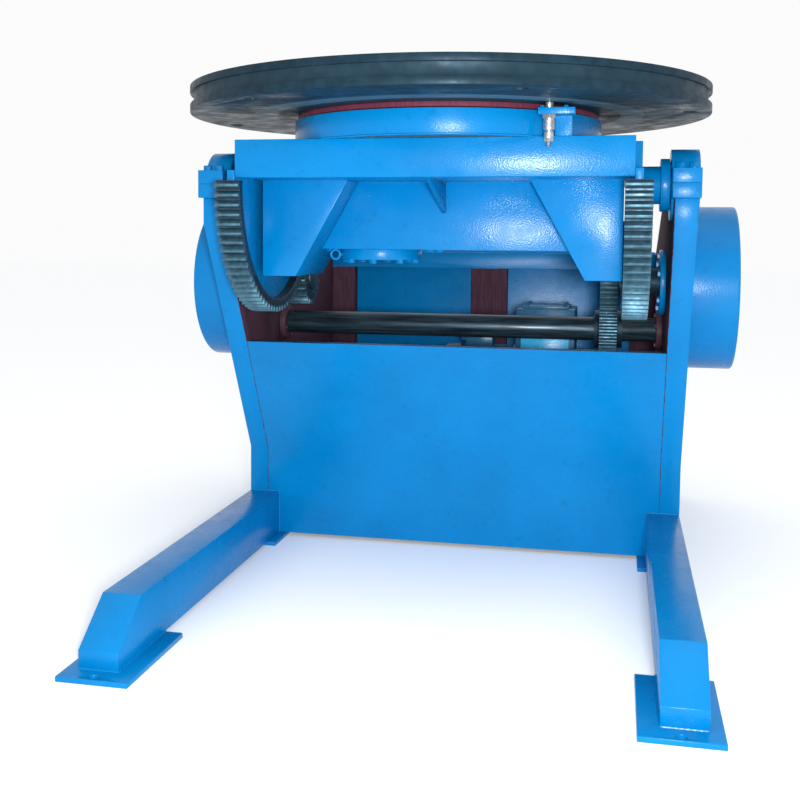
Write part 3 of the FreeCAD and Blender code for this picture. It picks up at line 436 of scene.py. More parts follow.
@dataclass(frozen=True)
class MilledSteel(Finish):
    """Carbon steel, cut with a hob or turned, and left bare under a film of grease."""

    # It gives the eye a soft bluish gleam with fine lines along the cut and thin dark
    # smears. The cutter's marks are under 1 mm apart: they are drawn 3 mm apart to show.
    ground: str = "#4c7385"
    patches: str = "#355767"
    patch: float = 14.0
    patch_detail: float = 5.0
    gloss_patch: float = 18.0
    smooth: float = 0.34
    rough: float = 0.56
    grit: float = 3.0
    grain: tuple[float, float, float] = (0.05, 1.0, 1.0)
    metallic: float = 0.7
    # Colour of grease smears; on teeth it also darkens the roots as painted shade.
    grease_and_shade: str = "#1f333e"
    smear: float = 30.0
    smear_detail: float = 6.0
    smear_share: tuple[float, float] = (-0.4, 0.35)

    def grease_and_shade_share(self, tree: Tree, place: Socket) -> Socket:
        """Return the share of grease over the metal, in thin smears."""
        return spread(tree, place, self.smear, *self.smear_share, self.smear_detail)

    def colour(self, tree: Tree, place: Socket) -> Socket:
        """Smear grease over the bare metal, with painted shade in the roots of teeth.

        Args:
            tree: Node tree of the material.
            place: Object coordinates.

        Returns:
            The colour.
        """
        bare, share = super().colour(tree, place), self.grease_and_shade_share(tree, place)
        layers = {0: share, FIRST: bare, SECOND: linear(self.grease_and_shade)}
        return add(tree, "Mix", layers, MIXED, data_type="RGBA")

    def relief(self, tree: Tree, place: Socket) -> Socket:
        """Return the normal of cutter marks that run along the teeth."""
        return super().relief(tree, self.drawn_out(tree, place))


@dataclass(frozen=True)
class ToothedSteel(MilledSteel):
    """Rim of a hobbed gear that runs in grease."""

    # The tips are rubbed clean and bright, and the roots are darkened with old grease and
    # painted shade, so the eye gets a light line for every tooth and a dark one between.
    axis: tuple[float, float] = (0.0, 0.0)
    tip: float = 0.1
    depth: float = 18 * MM
    # Share of grease and painted shade at the roots of the teeth.
    root_grease_and_shade: float = 0.9
    fade_end: float = 0.4
    clump: float = 16.0
    clump_detail: float = 5.0
    clump_share: tuple[float, float] = (-0.15, 0.15)

    def grease_and_shade_share(self, tree: Tree, place: Socket) -> Socket:
        """Darken the roots with grease and painted shade, fading unevenly towards the tips.

        Args:
            tree: Node tree of the material.
            place: Object coordinates.

        Returns:
            The share of grease and painted shade over the metal.
        """
        reach = distance_from(tree, place, (0.0, *self.axis), (0.0, 1.0, 1.0))
        root = self.tip - self.depth
        fade = {
            FROM_LOW: root + MM, FROM_HIGH: root + self.fade_end * self.depth,
            TO_LOW: self.root_grease_and_shade, TO_HIGH: 0.0,
        }
        # Painted shade with grease: darker towards the roots of the teeth.
        root_darkening = add(tree, "MapRange", {"Value": reach, **fade})
        uneven = spread(tree, place, self.clump, *self.clump_share, self.clump_detail)
        return add(tree, "Math", {0: root_darkening, 1: uneven}, operation="ADD", use_clamp=True)


@dataclass(frozen=True)
class OiledBar(Finish):
    """Turned steel bar, blackened and wiped with oil."""

    # It is near black and glossy, with long soft lighter streaks along it that are partly thinner
    # oil and partly painted sheen. The lathe's marks are 0.3 mm apart: they are drawn 14 mm apart,
    # as a faint ripple.
    ground: str = "#101b22"
    # Lighter streak colour: partly thinner oil, partly painted sheen.
    patches: str = "#38505e"
    patch: float = 9.0
    patch_detail: float = 5.0
    gloss_patch: float = 14.0
    smooth: float = 0.22
    grain: tuple[float, float, float] = (0.06, 1.0, 1.0)
    metallic: float = 0.55
    groove: float = 13.823
    groove_depth: float = 0.04
    groove_strength: float = 0.3

    def colour(self, tree: Tree, place: Socket) -> Socket:
        """Return near black with lighter streaks along the bar, of thinner oil and painted sheen.
        """
        return super().colour(tree, self.drawn_out(tree, place))

    def roughness(self, tree: Tree, place: Socket) -> Socket:
        """Return a gloss that varies in streaks along the bar."""
        return super().roughness(tree, self.drawn_out(tree, place))

    def relief(self, tree: Tree, place: Socket) -> Socket:
        """Cut shallow rings round the bar.

        Args:
            tree: Node tree of the material.
            place: Object coordinates.

        Returns:
            The normal.
        """
        rings = {"Vector": place, "Scale": FULL_TURN / (self.groove * MM) / WAVE_RATE}
        height = add(tree, "TexWave", rings, "Fac", wave_type="BANDS", bands_direction="X")
        depth = {"Distance": self.groove_depth * MM, "Strength": self.groove_strength}
        return add(tree, "Bump", {"Height": height, **depth})


@dataclass(frozen=True)
class TurnedPlate(Finish):
    """Mild steel plate faced on a lathe and oiled dark."""

    # It gives the eye a blue-black disc with rings about its own axis, some passes of
    # the tool a little barer than others, and one bright band on the underside where
    # the bearing's seat was finished. The tool's grooves are 0.3 mm apart: they are drawn
    # 5 mm apart to show.
    ground: str = "#1b303c"
    patches: str = "#15252f"
    patch_detail: float = 7.0
    gloss_patch: float = 45.0
    rough: float = 0.52
    metallic: float = 0.15
    reflection: float = 0.06
    band: str = "#3e5866"
    band_middle: float = 0.499
    band_half: float = 0.031
    middle: tuple[float, float] = (0.0, -0.12)
    underside: float = 1.2845
    groove: float = 5.0
    groove_depth: float = 0.02
    groove_strength: float = 0.5
    tool_pass: float = 14.0
    tool_detail: float = 3.0
    bare_range: tuple[float, float] = (0.5, 0.75)
    bare_share: float = 0.16

    def reach(self, tree: Tree, place: Socket) -> Socket:
        """Return the distance from the table's own axis."""
        return distance_from(tree, place, (*self.middle, 0.0), (1.0, 1.0, 0.0))

    def colour(self, tree: Tree, place: Socket) -> Socket:
        """Ring the dark oiled metal with barer passes and the bright band below.

        Args:
            tree: Node tree of the material.
            place: Object coordinates.

        Returns:
            The colour.
        """
        oiled, bare = super().colour(tree, place), linear(self.band)
        reach = self.reach(tree, place)
        rings = {"W": reach, "Scale": 1 / (self.tool_pass * MM), "Detail": self.tool_detail}
        passes = add(tree, "TexNoise", rings, "Fac", noise_dimensions="1D")
        low, high = self.bare_range
        wear = {"Value": passes, FROM_LOW: low, FROM_HIGH: high, TO_HIGH: self.bare_share}
        worn = add(tree, "MapRange", wear)
        faced = add(tree, "Mix", {0: worn, FIRST: oiled, SECOND: bare}, MIXED, data_type="RGBA")
        band = {0: reach, 1: self.band_middle, 2: self.band_half}
        within = add(tree, "Math", band, operation="COMPARE")
        height = add(tree, "SeparateXYZ", {0: place}, "Z")
        below = add(tree, "Math", {0: height, 1: self.underside}, operation="LESS_THAN")
        bright = add(tree, "Math", {0: within, 1: below}, operation="MULTIPLY")
        return add(tree, "Mix", {0: bright, FIRST: faced, SECOND: bare}, MIXED, data_type="RGBA")

    def relief(self, tree: Tree, place: Socket) -> Socket:
        """Cut grooves about the table's own axis.

        Args:
            tree: Node tree of the material.
            place: Object coordinates.

        Returns:
            The normal.
        """
        rate = FULL_TURN / (self.groove * MM)
        turn = add(tree, "Math", {0: self.reach(tree, place), 1: rate}, operation="MULTIPLY")
        grooves = add(tree, "Math", {0: turn}, operation="SINE")
        depth = {"Distance": self.groove_depth * MM, "Strength": self.groove_strength}
        return add(tree, "Bump", {"Height": grooves, **depth})


@dataclass(frozen=True)
class PlatedSteel(Finish):
    """Zinc-plated steel, turned before it was plated."""

    # It gives the eye a pale bluish metal with a sharp gleam, a faint mottle and no
    # visible tool marks.
    ground: str = "#d5d9da"
    patches: str = "#9aa2a4"
    patch: float = 9.0
    gloss_patch: float = 6.0
    smooth: float = 0.19
    rough: float = 0.37
    grit: float = 0.9
    grit_detail: float = 1.0
    grit_depth: float = 0.03
    grit_strength: float = 0.4
    metallic: float = 1.0


# Iron castings take a thicker coat than plate, so their dimples are drawn 5 mm wide.
# Painted light: the reducer's front cover is painted paler than the grey-blue casting enamel, as it
# faces the light head-on.
LIT_FRONT_CASTING = HammeredEnamel(
    "casting enamel with painted light", ground="#33a6d8", patches="#2792c2", grime="#18607e", dimple=5.0
)
CASTING = HammeredEnamel(
    "grey blue casting enamel", ground="#265a7a", patches="#1b4560", grime="#142c3c", dimple=5.0
)
# The table's adapter has the same primer, less faded.
FRESH_PRIMER = OxidePrimer("fresh red oxide primer", ground="#63263a", patches="#471b2c")
# The back frame is blue above its masked edge; the walls are blue outside theirs.
RAIL_PAINT = TwoCoats("rail enamel over primer")
FINISHES: dict[str, Finish] = {
    Slot.TABLE: TurnedPlate("faced table steel"),
    Slot.BLUE: HammeredEnamel("hammered blue enamel"),
    Slot.WALL: TwoCoats("wall enamel over primer", edge_axis=Axis.ACROSS, edge_line=0.6085),
    Slot.PRIMER: OxidePrimer("red oxide primer"),
    Slot.GEAR: MilledSteel("hobbed gear steel"),
    Slot.SHAFT: OiledBar("oiled black bar"),
    Slot.BRIGHT: PlatedSteel("zinc plated steel"),
    Slot.RING: MilledSteel("greased bearing steel", ground="#66757c", patches="#3d494f"),
}


# ------------------------------------------------------------ pieces in mesh
@dataclass(frozen=True)
class Hexagon:
    """Head of a hexagon bolt: width across its flats, and height with its washer.

    Washer and crown are shares of the height, and their reaches of a corner's.
    """

    flats: float
    height: float
    washer: float = 0.16
    crown: float = 0.14
    washer_reach: float = 1.1
    crown_reach: float = 0.84


def make_piece(
    name: str, shape: Shape, body: str, slot: str, finish: Finish | None = None
) -> bpy.types.Object:
    """Turn a finished mesh into a piece that rides on a body.

    Args:
        name: The piece's name.
        shape: Its mesh, in the frame's own axes; it is freed here.
        body: Body that carries it.
        slot: The record's material slot that it takes its finish from.
        finish: Its finish, where it isn't the slot's own.

    Returns:
        The piece's object.
    """
    bmesh.ops.remove_doubles(shape, verts=shape.verts, dist=MERGE)
    bmesh.ops.recalc_face_normals(shape, faces=shape.faces)
    mesh = bpy.data.meshes.new(name)
    shape.to_mesh(mesh)
    shape.free()
    mesh.shade_smooth()
    mesh.set_sharp_from_angle(angle=CREASE)
    mesh.materials.append((finish or FINISHES[slot]).material())
    piece = bpy.data.objects.new(name, mesh)
    bpy.context.scene.collection.objects.link(piece)
    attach(piece, body)
    LOG.info("made %s, which rides on %s", name, body)
    return piece


def dress(node: str, edge: float, finish: Finish | None = None) -> None:
    """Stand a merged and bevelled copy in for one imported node.

    Args:
        node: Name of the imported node.
        edge: Width of the bevel on its sharp edges.
        finish: Its finish, where it isn't its slot's own.
    """
    source = FRAME["nodes"][node]
    shape = bmesh.new()
    shape.from_mesh(source.data)
    bmesh.ops.remove_doubles(shape, verts=shape.verts, dist=MERGE)
    bmesh.ops.dissolve_limit(shape, angle_limit=FLAT, verts=shape.verts, edges=shape.edges)
    sharp = [
        line for line in shape.edges if line.is_manifold and line.calc_face_angle() > CREASE
    ]
    round_edges(shape, sharp, edge)
    piece = make_piece(f"{node}_surface", shape, source["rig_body"], NODE_SLOTS[node], finish)
    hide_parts(node)


def edges_at(corners: Iterable[bmesh.types.BMVert]) -> list[bmesh.types.BMEdge]:
    """List the edges that meet at some corners, each once and always in one order."""
    return list(dict.fromkeys(line for corner in corners for line in corner.link_edges))


def round_edges(shape: Shape, lines: list[bmesh.types.BMEdge], edge: float) -> None:
    """Round the given edges of a mesh.

    Args:
        shape: Mesh that they belong to.
        lines: The edges.
        edge: Width of the bevel.
    """
    bmesh.ops.bevel(
        shape, geom=lines, offset=edge, segments=BEVEL_STEPS, affect="EDGES", profile=0.5,
        material=-1,
    )


def facing(at: Vector, along: Vector) -> Matrix:
    """Place and turn that take a shape's +Z to a direction."""
    return Matrix.Translation(at) @ along.to_track_quat("Z", "Y").to_matrix().to_4x4()


def middle_of(node: str) -> Vector:
    """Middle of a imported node's box."""
    low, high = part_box(node)
    return (low + high) / 2


def foot_of(node: str) -> Vector:
    """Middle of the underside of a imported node's box."""
    middle = middle_of(node)
    return Vector((middle.x, middle.y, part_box(node)[0].z))


def radius_of(node: str) -> float:
    """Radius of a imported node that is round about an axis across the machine."""
    low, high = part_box(node)
    return (high.z - low.z) / 2


def add_disc(
    shape: Shape, at: Vector, along: Vector, foot: float, top: float, length: float,
    sides: int = 24,
) -> None:
    """Add a closed cylinder, cone or prism that stands on a point.

    Args:
        shape: Mesh that it is added to.
        at: Middle of its foot.
        along: Direction in which it stands.
        foot: Radius of its foot.
        top: Radius of its top.
        length: How far it stands out.
        sides: Number of its sides.
    """
    place = facing(at + along * (length / 2), along)
    bmesh.ops.create_cone(
        shape, cap_ends=True, segments=sides, radius1=foot, radius2=top, depth=length,
        matrix=place,
    )


def add_hex_bolt(shape: Shape, at: Vector, along: Vector, head: Hexagon) -> None:
    """Add a washer and a hexagon head with a chamfered crown.

    Args:
        shape: Mesh that it is added to.
        at: Point where the bolt meets the surface.
        along: Direction in which the head stands out.
        head: Its size.
    """
    corner = head.flats / math.sqrt(3)
    rim, tip = head.washer_reach * corner, head.crown_reach * corner
    washer, crown = head.washer * head.height, head.crown * head.height
    body = head.height - washer - crown
    add_disc(shape, at, along, rim, rim, washer)
    add_disc(shape, at + along * washer, along, corner, corner, body, HEX_SIDES)
    add_disc(shape, at + along * (washer + body), along, corner, tip, crown, HEX_SIDES)


def add_box(shape: Shape, low: Vector, high: Vector, edge: float) -> None:
    """Add a block with rounded edges.

    Args:
        shape: Mesh that it is added to.
        low: Its lowest corner.
        high: Its highest corner.
        edge: Width of the bevel on its edges.
    """
    place = Matrix.Translation((low + high) / 2) @ Matrix.Diagonal((high - low).to_4d())
    made = bmesh.ops.create_cube(shape, size=1.0, matrix=place)
    round_edges(shape, edges_at(made["verts"]), edge)


def add_turning(
    shape: Shape, profile: Outline, at: Vector, along: Vector, steps: int = 64
) -> None:
    """Spin an outline about an axis into a closed ring or solid.

    Args:
        shape: Mesh that it is added to.
        profile: Distance along the axis and radius of each point.
        at: Point on the axis from which the distances run.
        along: Direction of the axis.
        steps: Number of steps in the full turn.
    """
    place = facing(at, along)
    corners = [shape.verts.new(place @ Vector((radius, 0, reach))) for reach, radius in profile]
    lines = [shape.edges.new(pair) for pair in zip(corners, corners[1:])]
    if profile[0][1] > 0:
        lines.append(shape.edges.new((corners[-1], corners[0])))
    bmesh.ops.spin(
        shape, geom=corners + lines, cent=at, axis=along, angle=FULL_TURN, steps=steps,
        use_merge=True,
    )
    bmesh.ops.remove_doubles(shape, verts=shape.verts, dist=MERGE)


def arc(reach: float, radius: float, bend: float, turns: Iterable[float]) -> Outline:
    """Points of an outline round a bend, whose middle is at a reach and radius."""
    return [(reach + bend * math.sin(turn), radius + bend * math.cos(turn)) for turn in turns]


def on_circle(
    middle: Vector, along: Vector, radius: float, count: int, first: float = 0.0
) -> list[Vector]:
    """Points spaced evenly round an axis.

    Args:
        middle: Centre of the circle.
        along: Axis of the circle.
        radius: Its radius.
        count: Number of points.
        first: Angle of the first point.

    Returns:
        The points.
    """
    place = facing(middle, along)
    turns = [first + FULL_TURN * index / count for index in range(count)]
    return [place @ Vector((radius * math.cos(turn), radius * math.sin(turn), 0)) for turn in turns]


def add_bead(shape: Shape, start: Vector, end: Vector, radius: float, ripple: float) -> None:
    """Lay one weld bead with its ripples along a straight seam.

    Args:
        shape: Mesh that it is added to.
        start: First end of the seam.
        end: Other end of the seam.
        radius: Mean radius of the bead.
        ripple: Length of one ripple.
    """
    run = end - start
    count = max(2, round(run.length / ripple))
    tail, crest, trough = (share * radius for share in BEAD_SHARES)
    width = tail
    ring = bmesh.ops.create_circle(
        shape, cap_ends=True, radius=width, segments=BEAD_SIDES, matrix=facing(start, run)
    )["verts"]
    lines = edges_at(ring)
    for index in range(1, count + 1):
        grown = bmesh.ops.extrude_edge_only(shape, edges=lines)["geom"]
        ring = [item for item in grown if isinstance(item, bmesh.types.BMVert)]
        lines = [
            item for item in grown
            if isinstance(item, bmesh.types.BMEdge) and all(tip in ring for tip in item.verts)
        ]
        target = tail if index == count else crest if index % 2 else trough
        middle = start + run * (index / count)
        bmesh.ops.translate(shape, verts=ring, vec=run / count)
        bmesh.ops.scale(
            shape, verts=ring, vec=Vector((1, 1, 1)) * (target / width),
            space=Matrix.Translation(-middle),
        )
        width = target
    bmesh.ops.contextual_create(shape, geom=lines)


# -------------------------------------------------------------- sub-assembly
@dataclass
class SubAssembly:
    """What the sub-assemblies share: a body, the edges of plates and the weld beads."""

    body: str = "base"
    plate_edge: float = 1.6 * MM
    cast_edge: float = 2.5 * MM
    tooth_edge: float = 0.5 * MM
    bead: float = 3.0 * MM
    light_bead: float = 1.6 * MM
    ripple: float = 6.0 * MM

    def dress_all(self, names: Iterable[str], edge: float, finish: Finish | None = None) -> None:
        """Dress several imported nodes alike."""
        for name in names:
            dress(name, edge, finish)

    def weld(
        self, name: str, seams: Iterable[tuple[Place, Place]], bead: float | None = None,
        ripple: float | None = None,
    ) -> None:
        """Lay a set of painted weld beads as one piece.

        Args:
            name: The piece's name.
            seams: Both ends of each seam.
            bead: Radius of the beads, where it isn't the usual one.
            ripple: Length of one ripple, where it isn't the usual one.
        """
        shape = bmesh.new()
        for start, end in seams:
            add_bead(shape, Vector(start), Vector(end), bead or self.bead, ripple or self.ripple)
        make_piece(name, shape, self.body, Slot.BLUE)

    def bolt(
        self, name: str, places: Iterable[Place], along: Vector, head: Hexagon,
        slot: str = Slot.BLUE,
    ) -> bpy.types.Object:
        """Set a group of hexagon bolts as one piece.

        Args:
            name: The piece's name.
            places: Where each bolt meets the surface.
            along: Direction in which the heads stand out.
            head: Size of a head.
            slot: Material slot of the group.

        Returns:
            The group's object.
        """
        shape = bmesh.new()
        for at in places:
            add_hex_bolt(shape, Vector(at), along, head)
        return make_piece(name, shape, self.body, slot)


@dataclass
class Base(SubAssembly):
    """Side walls, legs, foot pads, panels and the back frame."""

    leg_seat: float = 0.159
    top_bead: float = 6.6 * MM
    top_ripple: float = 12 * MM
    top_end: float = 1.0 * MM
    panel_bolt: Hexagon = Hexagon(16 * MM, 8 * MM)
    panel_bolt_inset: float = 30 * MM
    panel_bolt_gaps: int = 4

    def build(self) -> None:
        """Build the whole sub-assembly."""
        paired = ("column", "leg", "pad_front", "pad_middle", "pad_rear")
        self.dress_all(
            [f"{part}_{side}" for side in SIDES for part in paired]
            + ["front_panel", "rear_panel", "rear_beam", "drive_shelf"],
            self.plate_edge,
        )
        self.dress_all(["rear_frame"], self.plate_edge, RAIL_PAINT)
        self.weld_rear_top()
        for side, hand in SIDES.items():
            self.weld_leg(side, hand)
        self.bolt_rear_panel()

    def weld_leg(self, side: str, hand: int) -> None:
        """Weld one leg to its front pad and to the front panel.

        Args:
            side: Name of its side.
            hand: -1 on the left and 1 on the right.
        """
        low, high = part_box(f"leg_{side}")
        pad_back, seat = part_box(f"pad_front_{side}")[1].y, self.leg_seat
        inner = high.x if hand < 0 else low.x
        self.weld(f"leg_welds_{side}", [
            ((low.x, low.y, low.z), (low.x, pad_back, low.z)),
            ((high.x, low.y, low.z), (high.x, pad_back, low.z)),
            ((low.x, low.y, low.z), (high.x, low.y, low.z)),
            ((low.x, seat, high.z), (high.x, seat, high.z)),
            ((inner, seat, low.z), (inner, seat, high.z)),
        ])

    def weld_rear_top(self) -> None:
        """Seam along the top of the back frame, where the panel meets it."""
        low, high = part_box("rear_panel")
        left, right, rise = low.x + self.top_end, high.x - self.top_end, high.z + self.bead / 2
        seam = ((left, low.y, rise), (right, low.y, rise))
        self.weld("rear_top_weld", [seam], self.top_bead, self.top_ripple)

    def bolt_rear_panel(self) -> None:
        """Hexagon bolts round the back panel."""
        low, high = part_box("rear_panel")
        inset, gaps = self.panel_bolt_inset, self.panel_bolt_gaps
        left, right, foot, top = low.x + inset, high.x - inset, low.z + inset, high.z - inset
        across = [left + (right - left) * index / gaps for index in range(gaps + 1)]
        spots = [*product(across, (foot, top)), *product((left, right), [(foot + top) / 2])]
        face = high.y - self.panel_bolt.height
        places = [(x, face, z) for x, z in spots]
        self.bolt("rear_panel_bolts", places, BACK, self.panel_bolt, Slot.BRIGHT)


@dataclass
class Bearings(SubAssembly):
    """Split trunnion bearings, their bolts, and the flanges of the shafts in the walls."""

    cap_flats: float = 21 * MM
    cap_washer: float = 13 * MM
    pinion_bolt: Hexagon = Hexagon(17 * MM, 8 * MM)
    pinion_bolts: int = 6
    pinion_circle: float = 79 * MM
    cross_bolt: Hexagon = Hexagon(12 * MM, 6 * MM)
    cross_bolts: int = 4
    cross_circle: float = 47 * MM
    first_bolt: float = math.radians(20)

    def build(self) -> None:
        """Build the whole sub-assembly."""
        paired = ("bearing_saddle", "bearing_cap", "pinion_flange", "cross_flange")
        for side, hand in SIDES.items():
            self.dress_all([f"{part}_{side}" for part in paired], self.plate_edge)
            self.bolt_cap(side)
            self.bolt_flange(
                f"pinion_flange_{side}", hand, self.pinion_circle, self.pinion_bolts,
                self.pinion_bolt, Slot.BLUE,
            )
            self.bolt_flange(
                f"cross_flange_{side}", hand, self.cross_circle, self.cross_bolts,
                self.cross_bolt, Slot.PRIMER,
            )

    def bolt_cap(self, side: str) -> None:
        """Set the four painted bolts that hold one bearing cap down.

        Args:
            side: Name of the cap's side.
        """
        low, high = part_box(f"cap_bolts_{side}")
        inset = self.cap_washer
        spots = product((low.x + inset, high.x - inset), (low.y + inset, high.y - inset))
        places = [(x, y, low.z) for x, y in spots]
        head = Hexagon(self.cap_flats, high.z - low.z)
        piece = self.bolt(f"cap_hex_bolts_{side}", places, UP, head)
        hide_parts(f"cap_bolts_{side}")

    def bolt_flange(
        self, node: str, hand: int, circle: float, count: int, head: Hexagon, slot: str
    ) -> None:
        """Set a ring of hexagon bolts on a flange's inner face.

        Args:
            node: Name of the flange.
            hand: -1 on the left and 1 on the right.
            circle: Radius of the ring.
            count: Number of bolts.
            head: Size of a head.
            slot: Material slot of the bolts.
        """
        low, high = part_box(node)
        middle = middle_of(node)
        middle.x = high.x if hand < 0 else low.x
        along = ACROSS * -hand
        places = on_circle(middle, along, circle, count, self.first_bolt)
        self.bolt(f"{node}_bolts", places, along, head, slot)


@dataclass
class GearCovers(SubAssembly):
    """Round covers outside the walls, each a drum with a dished edge."""

    wall: float = 8 * MM
    dish: float = 7 * MM
    facets: int = 96

    def build(self) -> None:
        """Build the whole sub-assembly."""
        for side, hand in SIDES.items():
            self.press_cover(side, hand)

    def press_cover(self, side: str, hand: int) -> None:
        """Press one cover with its edge turned over a radius.

        Args:
            side: Name of its side.
            hand: -1 on the left and 1 on the right.
        """
        low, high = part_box(f"gear_cover_{side}")
        plate_low, plate_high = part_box(f"cover_plate_{side}")
        foot, face = (high.x, plate_low.x) if hand < 0 else (low.x, plate_high.x)
        depth, radius = abs(face - foot), radius_of(f"gear_cover_{side}")
        inner, floor = radius - self.wall, depth - self.wall
        profile = [(0.0, inner), (0.0, radius)]
        profile += arc(depth - self.dish, radius - self.dish, self.dish, QUARTER_BEND)
        profile += [(depth, 0.0), (floor, 0.0), (floor, inner)]
        middle = middle_of(f"gear_cover_{side}")
        middle.x = foot
        shape = bmesh.new()
        add_turning(shape, profile, middle, ACROSS * hand, self.facets)
        piece = make_piece(f"pressed_cover_{side}", shape, self.body, Slot.BLUE)
        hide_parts(f"gear_cover_{side}", f"cover_plate_{side}")


@dataclass
class DriveUnit(SubAssembly):
    """Worm reducer and motor on the inner shelf."""

    casting_width: float = 190 * MM
    cover_edge: float = 1.5 * MM
    cover_bolt: Hexagon = Hexagon(12 * MM, 7 * MM)
    top_cover_inset: tuple[float, float] = (20 * MM, 25 * MM)
    top_cover_thick: float = 9 * MM
    top_bolt_inset: float = 14 * MM
    side_cover_inset: float = 18 * MM
    side_cover_foot: float = 30 * MM
    side_cover_head: float = 72 * MM
    side_cover_thick: float = 7 * MM
    side_bolt_inset: float = 16 * MM
    fin_count: int = 28
    fin_depth: float = 8 * MM
    fin_thick: float = 2.4 * MM
    fin_lift: float = 1.5 * MM
    fin_start: float = 70 * MM
    fin_end: float = 22 * MM
    box_size: tuple[float, float, float] = (90 * MM, 100 * MM, 50 * MM)
    box_edge: float = 3 * MM
    box_sunk: float = 12 * MM
    lid_lip: float = 3 * MM
    lid_thick: float = 6 * MM
    lid_edge: float = 2 * MM
    gland_height: float = 0.55
    gland_radius: float = 12 * MM
    gland_length: float = 8 * MM
    gland_nut: tuple[float, float, float] = (10 * MM, 8 * MM, 12 * MM)

    def build(self) -> None:
        """Build the whole sub-assembly."""
        self.dress_all(["reducer", "drive_motor"], self.cast_edge, CASTING)
        self.cover_reducer()
        self.face_reducer()
        self.fin_motor()
        self.wire_box()

    def cover(
        self, name: str, corners: tuple[Vector, Vector], spots: Iterable[Place], along: Vector,
        finish: Finish,
    ) -> None:
        """Put one bolted cover on the reducer.

        Args:
            name: The piece's name.
            corners: Lowest and highest corner of the cover.
            spots: Where its bolts meet it.
            along: Direction in which the bolts stand out.
            finish: Its finish.
        """
        shape = bmesh.new()
        add_box(shape, *corners, self.cover_edge)
        for at in spots:
            add_hex_bolt(shape, Vector(at), along, self.cover_bolt)
        make_piece(name, shape, self.body, Slot.BLUE, finish)

    def cover_reducer(self) -> None:
        """Inspection cover on top of the reducer."""
        low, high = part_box("reducer")
        across, back = self.top_cover_inset
        foot = Vector((low.x + across, low.y + back, high.z))
        top = Vector((
            low.x + self.casting_width - across, high.y - back, high.z + self.top_cover_thick
        ))
        inset = self.top_bolt_inset
        spots = product((foot.x + inset, top.x - inset), (foot.y + inset, top.y - inset), [top.z])
        self.cover("reducer_cover", (foot, top), spots, UP, CASTING)

    def face_reducer(self) -> None:
        """Cover on the reducer's front, painted paler than the casting as painted light on its lit
        face.
        """
        low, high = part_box("reducer")
        side, inset = self.side_cover_inset, self.side_bolt_inset
        foot = Vector((low.x + side, low.y - self.side_cover_thick, low.z + self.side_cover_foot))
        top = Vector((low.x + self.casting_width - side, low.y, high.z - self.side_cover_head))
        spots = product((foot.x + inset, top.x - inset), [foot.y], (foot.z + inset, top.z - inset))
        self.cover("reducer_side_cover", (foot, top), spots, -BACK, LIT_FRONT_CASTING)

    def fin_motor(self) -> None:
        """Cooling fins along the motor's body."""
        low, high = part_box("drive_motor")
        middle = middle_of("drive_motor")
        start, end = low.x + self.fin_start, high.x - self.fin_end
        reach = radius_of("drive_motor") - self.fin_depth / 2 - self.fin_lift
        shape = bmesh.new()
        for index in range(self.fin_count):
            place = (
                Matrix.Translation(Vector(((start + end) / 2, middle.y, middle.z)))
                @ Matrix.Rotation(FULL_TURN * index / self.fin_count, 4, "X")
                @ Matrix.Translation((0, 0, reach))
                @ Matrix.Diagonal((end - start, self.fin_thick, self.fin_depth, 1))
            )
            bmesh.ops.create_cube(shape, size=1.0, matrix=place)
        make_piece("motor_fins", shape, self.body, Slot.BLUE, CASTING)

    def wire_box(self) -> None:
        """Terminal box with its lid and cable gland on the motor."""
        middle, size, lip = middle_of("drive_motor"), Vector(self.box_size), self.lid_lip
        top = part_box("drive_motor")[1].z
        foot = Vector((middle.x - size.x / 2, middle.y - size.y / 2, top - self.box_sunk))
        lid = foot + Vector((-lip, -lip, size.z))
        lid_size = Vector((size.x + 2 * lip, size.y + 2 * lip, self.lid_thick))
        gland = Vector((foot.x, middle.y, foot.z + size.z * self.gland_height))
        radius, length = self.gland_radius, self.gland_length
        shape = bmesh.new()
        add_box(shape, foot, foot + size, self.box_edge)
        add_box(shape, lid, lid + lid_size, self.lid_edge)
        add_disc(shape, gland, -ACROSS, radius, radius, length, HEX_SIDES)
        add_disc(shape, gland - ACROSS * length, -ACROSS, *self.gland_nut)
        make_piece("motor_terminal_box", shape, self.body, Slot.BLUE, CASTING)


@dataclass
class TiltFrame(SubAssembly):
    """Platform with its boxes, webs, guard and bearing race."""

    body: str = "tilt_frame"
    seam_gap: float = 8 * MM
    guard_bead: float = 2.2 * MM
    guard_facets: int = 128

    def build(self) -> None:
        """Build the whole sub-assembly."""
        paired = ("side_box", "web", "trunnion")
        self.dress_all(
            [f"{part}_{side}" for side in SIDES for part in paired]
            + ["platform", "belly_box", "gusset", "guard", "slewing_race"],
            self.plate_edge,
        )
        self.weld_boxes()
        self.weld_gusset()
        self.seam_guard()

    def weld_boxes(self) -> None:
        """Seams between the platform and the boxes under it."""
        foot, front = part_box("platform")[0].z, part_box("belly_box")[0].y
        seams = []
        for side, hand in SIDES.items():
            low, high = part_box(f"side_box_{side}")
            inner, outer = (high.x, low.x) if hand < 0 else (low.x, high.x)
            seams.append(((outer, low.y, foot), (inner, low.y, foot)))
            seams.append(((inner, front, foot), (hand * self.seam_gap, front, foot)))
        self.weld("platform_welds", seams, self.light_bead)

    def weld_gusset(self) -> None:
        """Seams on both sides of the gusset."""
        low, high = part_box("gusset")
        seams = []
        for x in (low.x, high.x):
            seams.append(((x, low.y, high.z), (x, high.y, high.z)))
            seams.append(((x, high.y, high.z), (x, high.y, low.z)))
        self.weld("gusset_welds", seams, self.light_bead)

    def seam_guard(self) -> None:
        """Thin seam where the guard stands on the platform."""
        low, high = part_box("guard")
        profile = arc(0.0, (high.x - low.x) / 2, self.guard_bead, ROUND_WIRE)
        shape = bmesh.new()
        add_turning(shape, profile, foot_of("guard"), UP, self.guard_facets)
        make_piece("guard_seam", shape, self.body, Slot.BLUE)


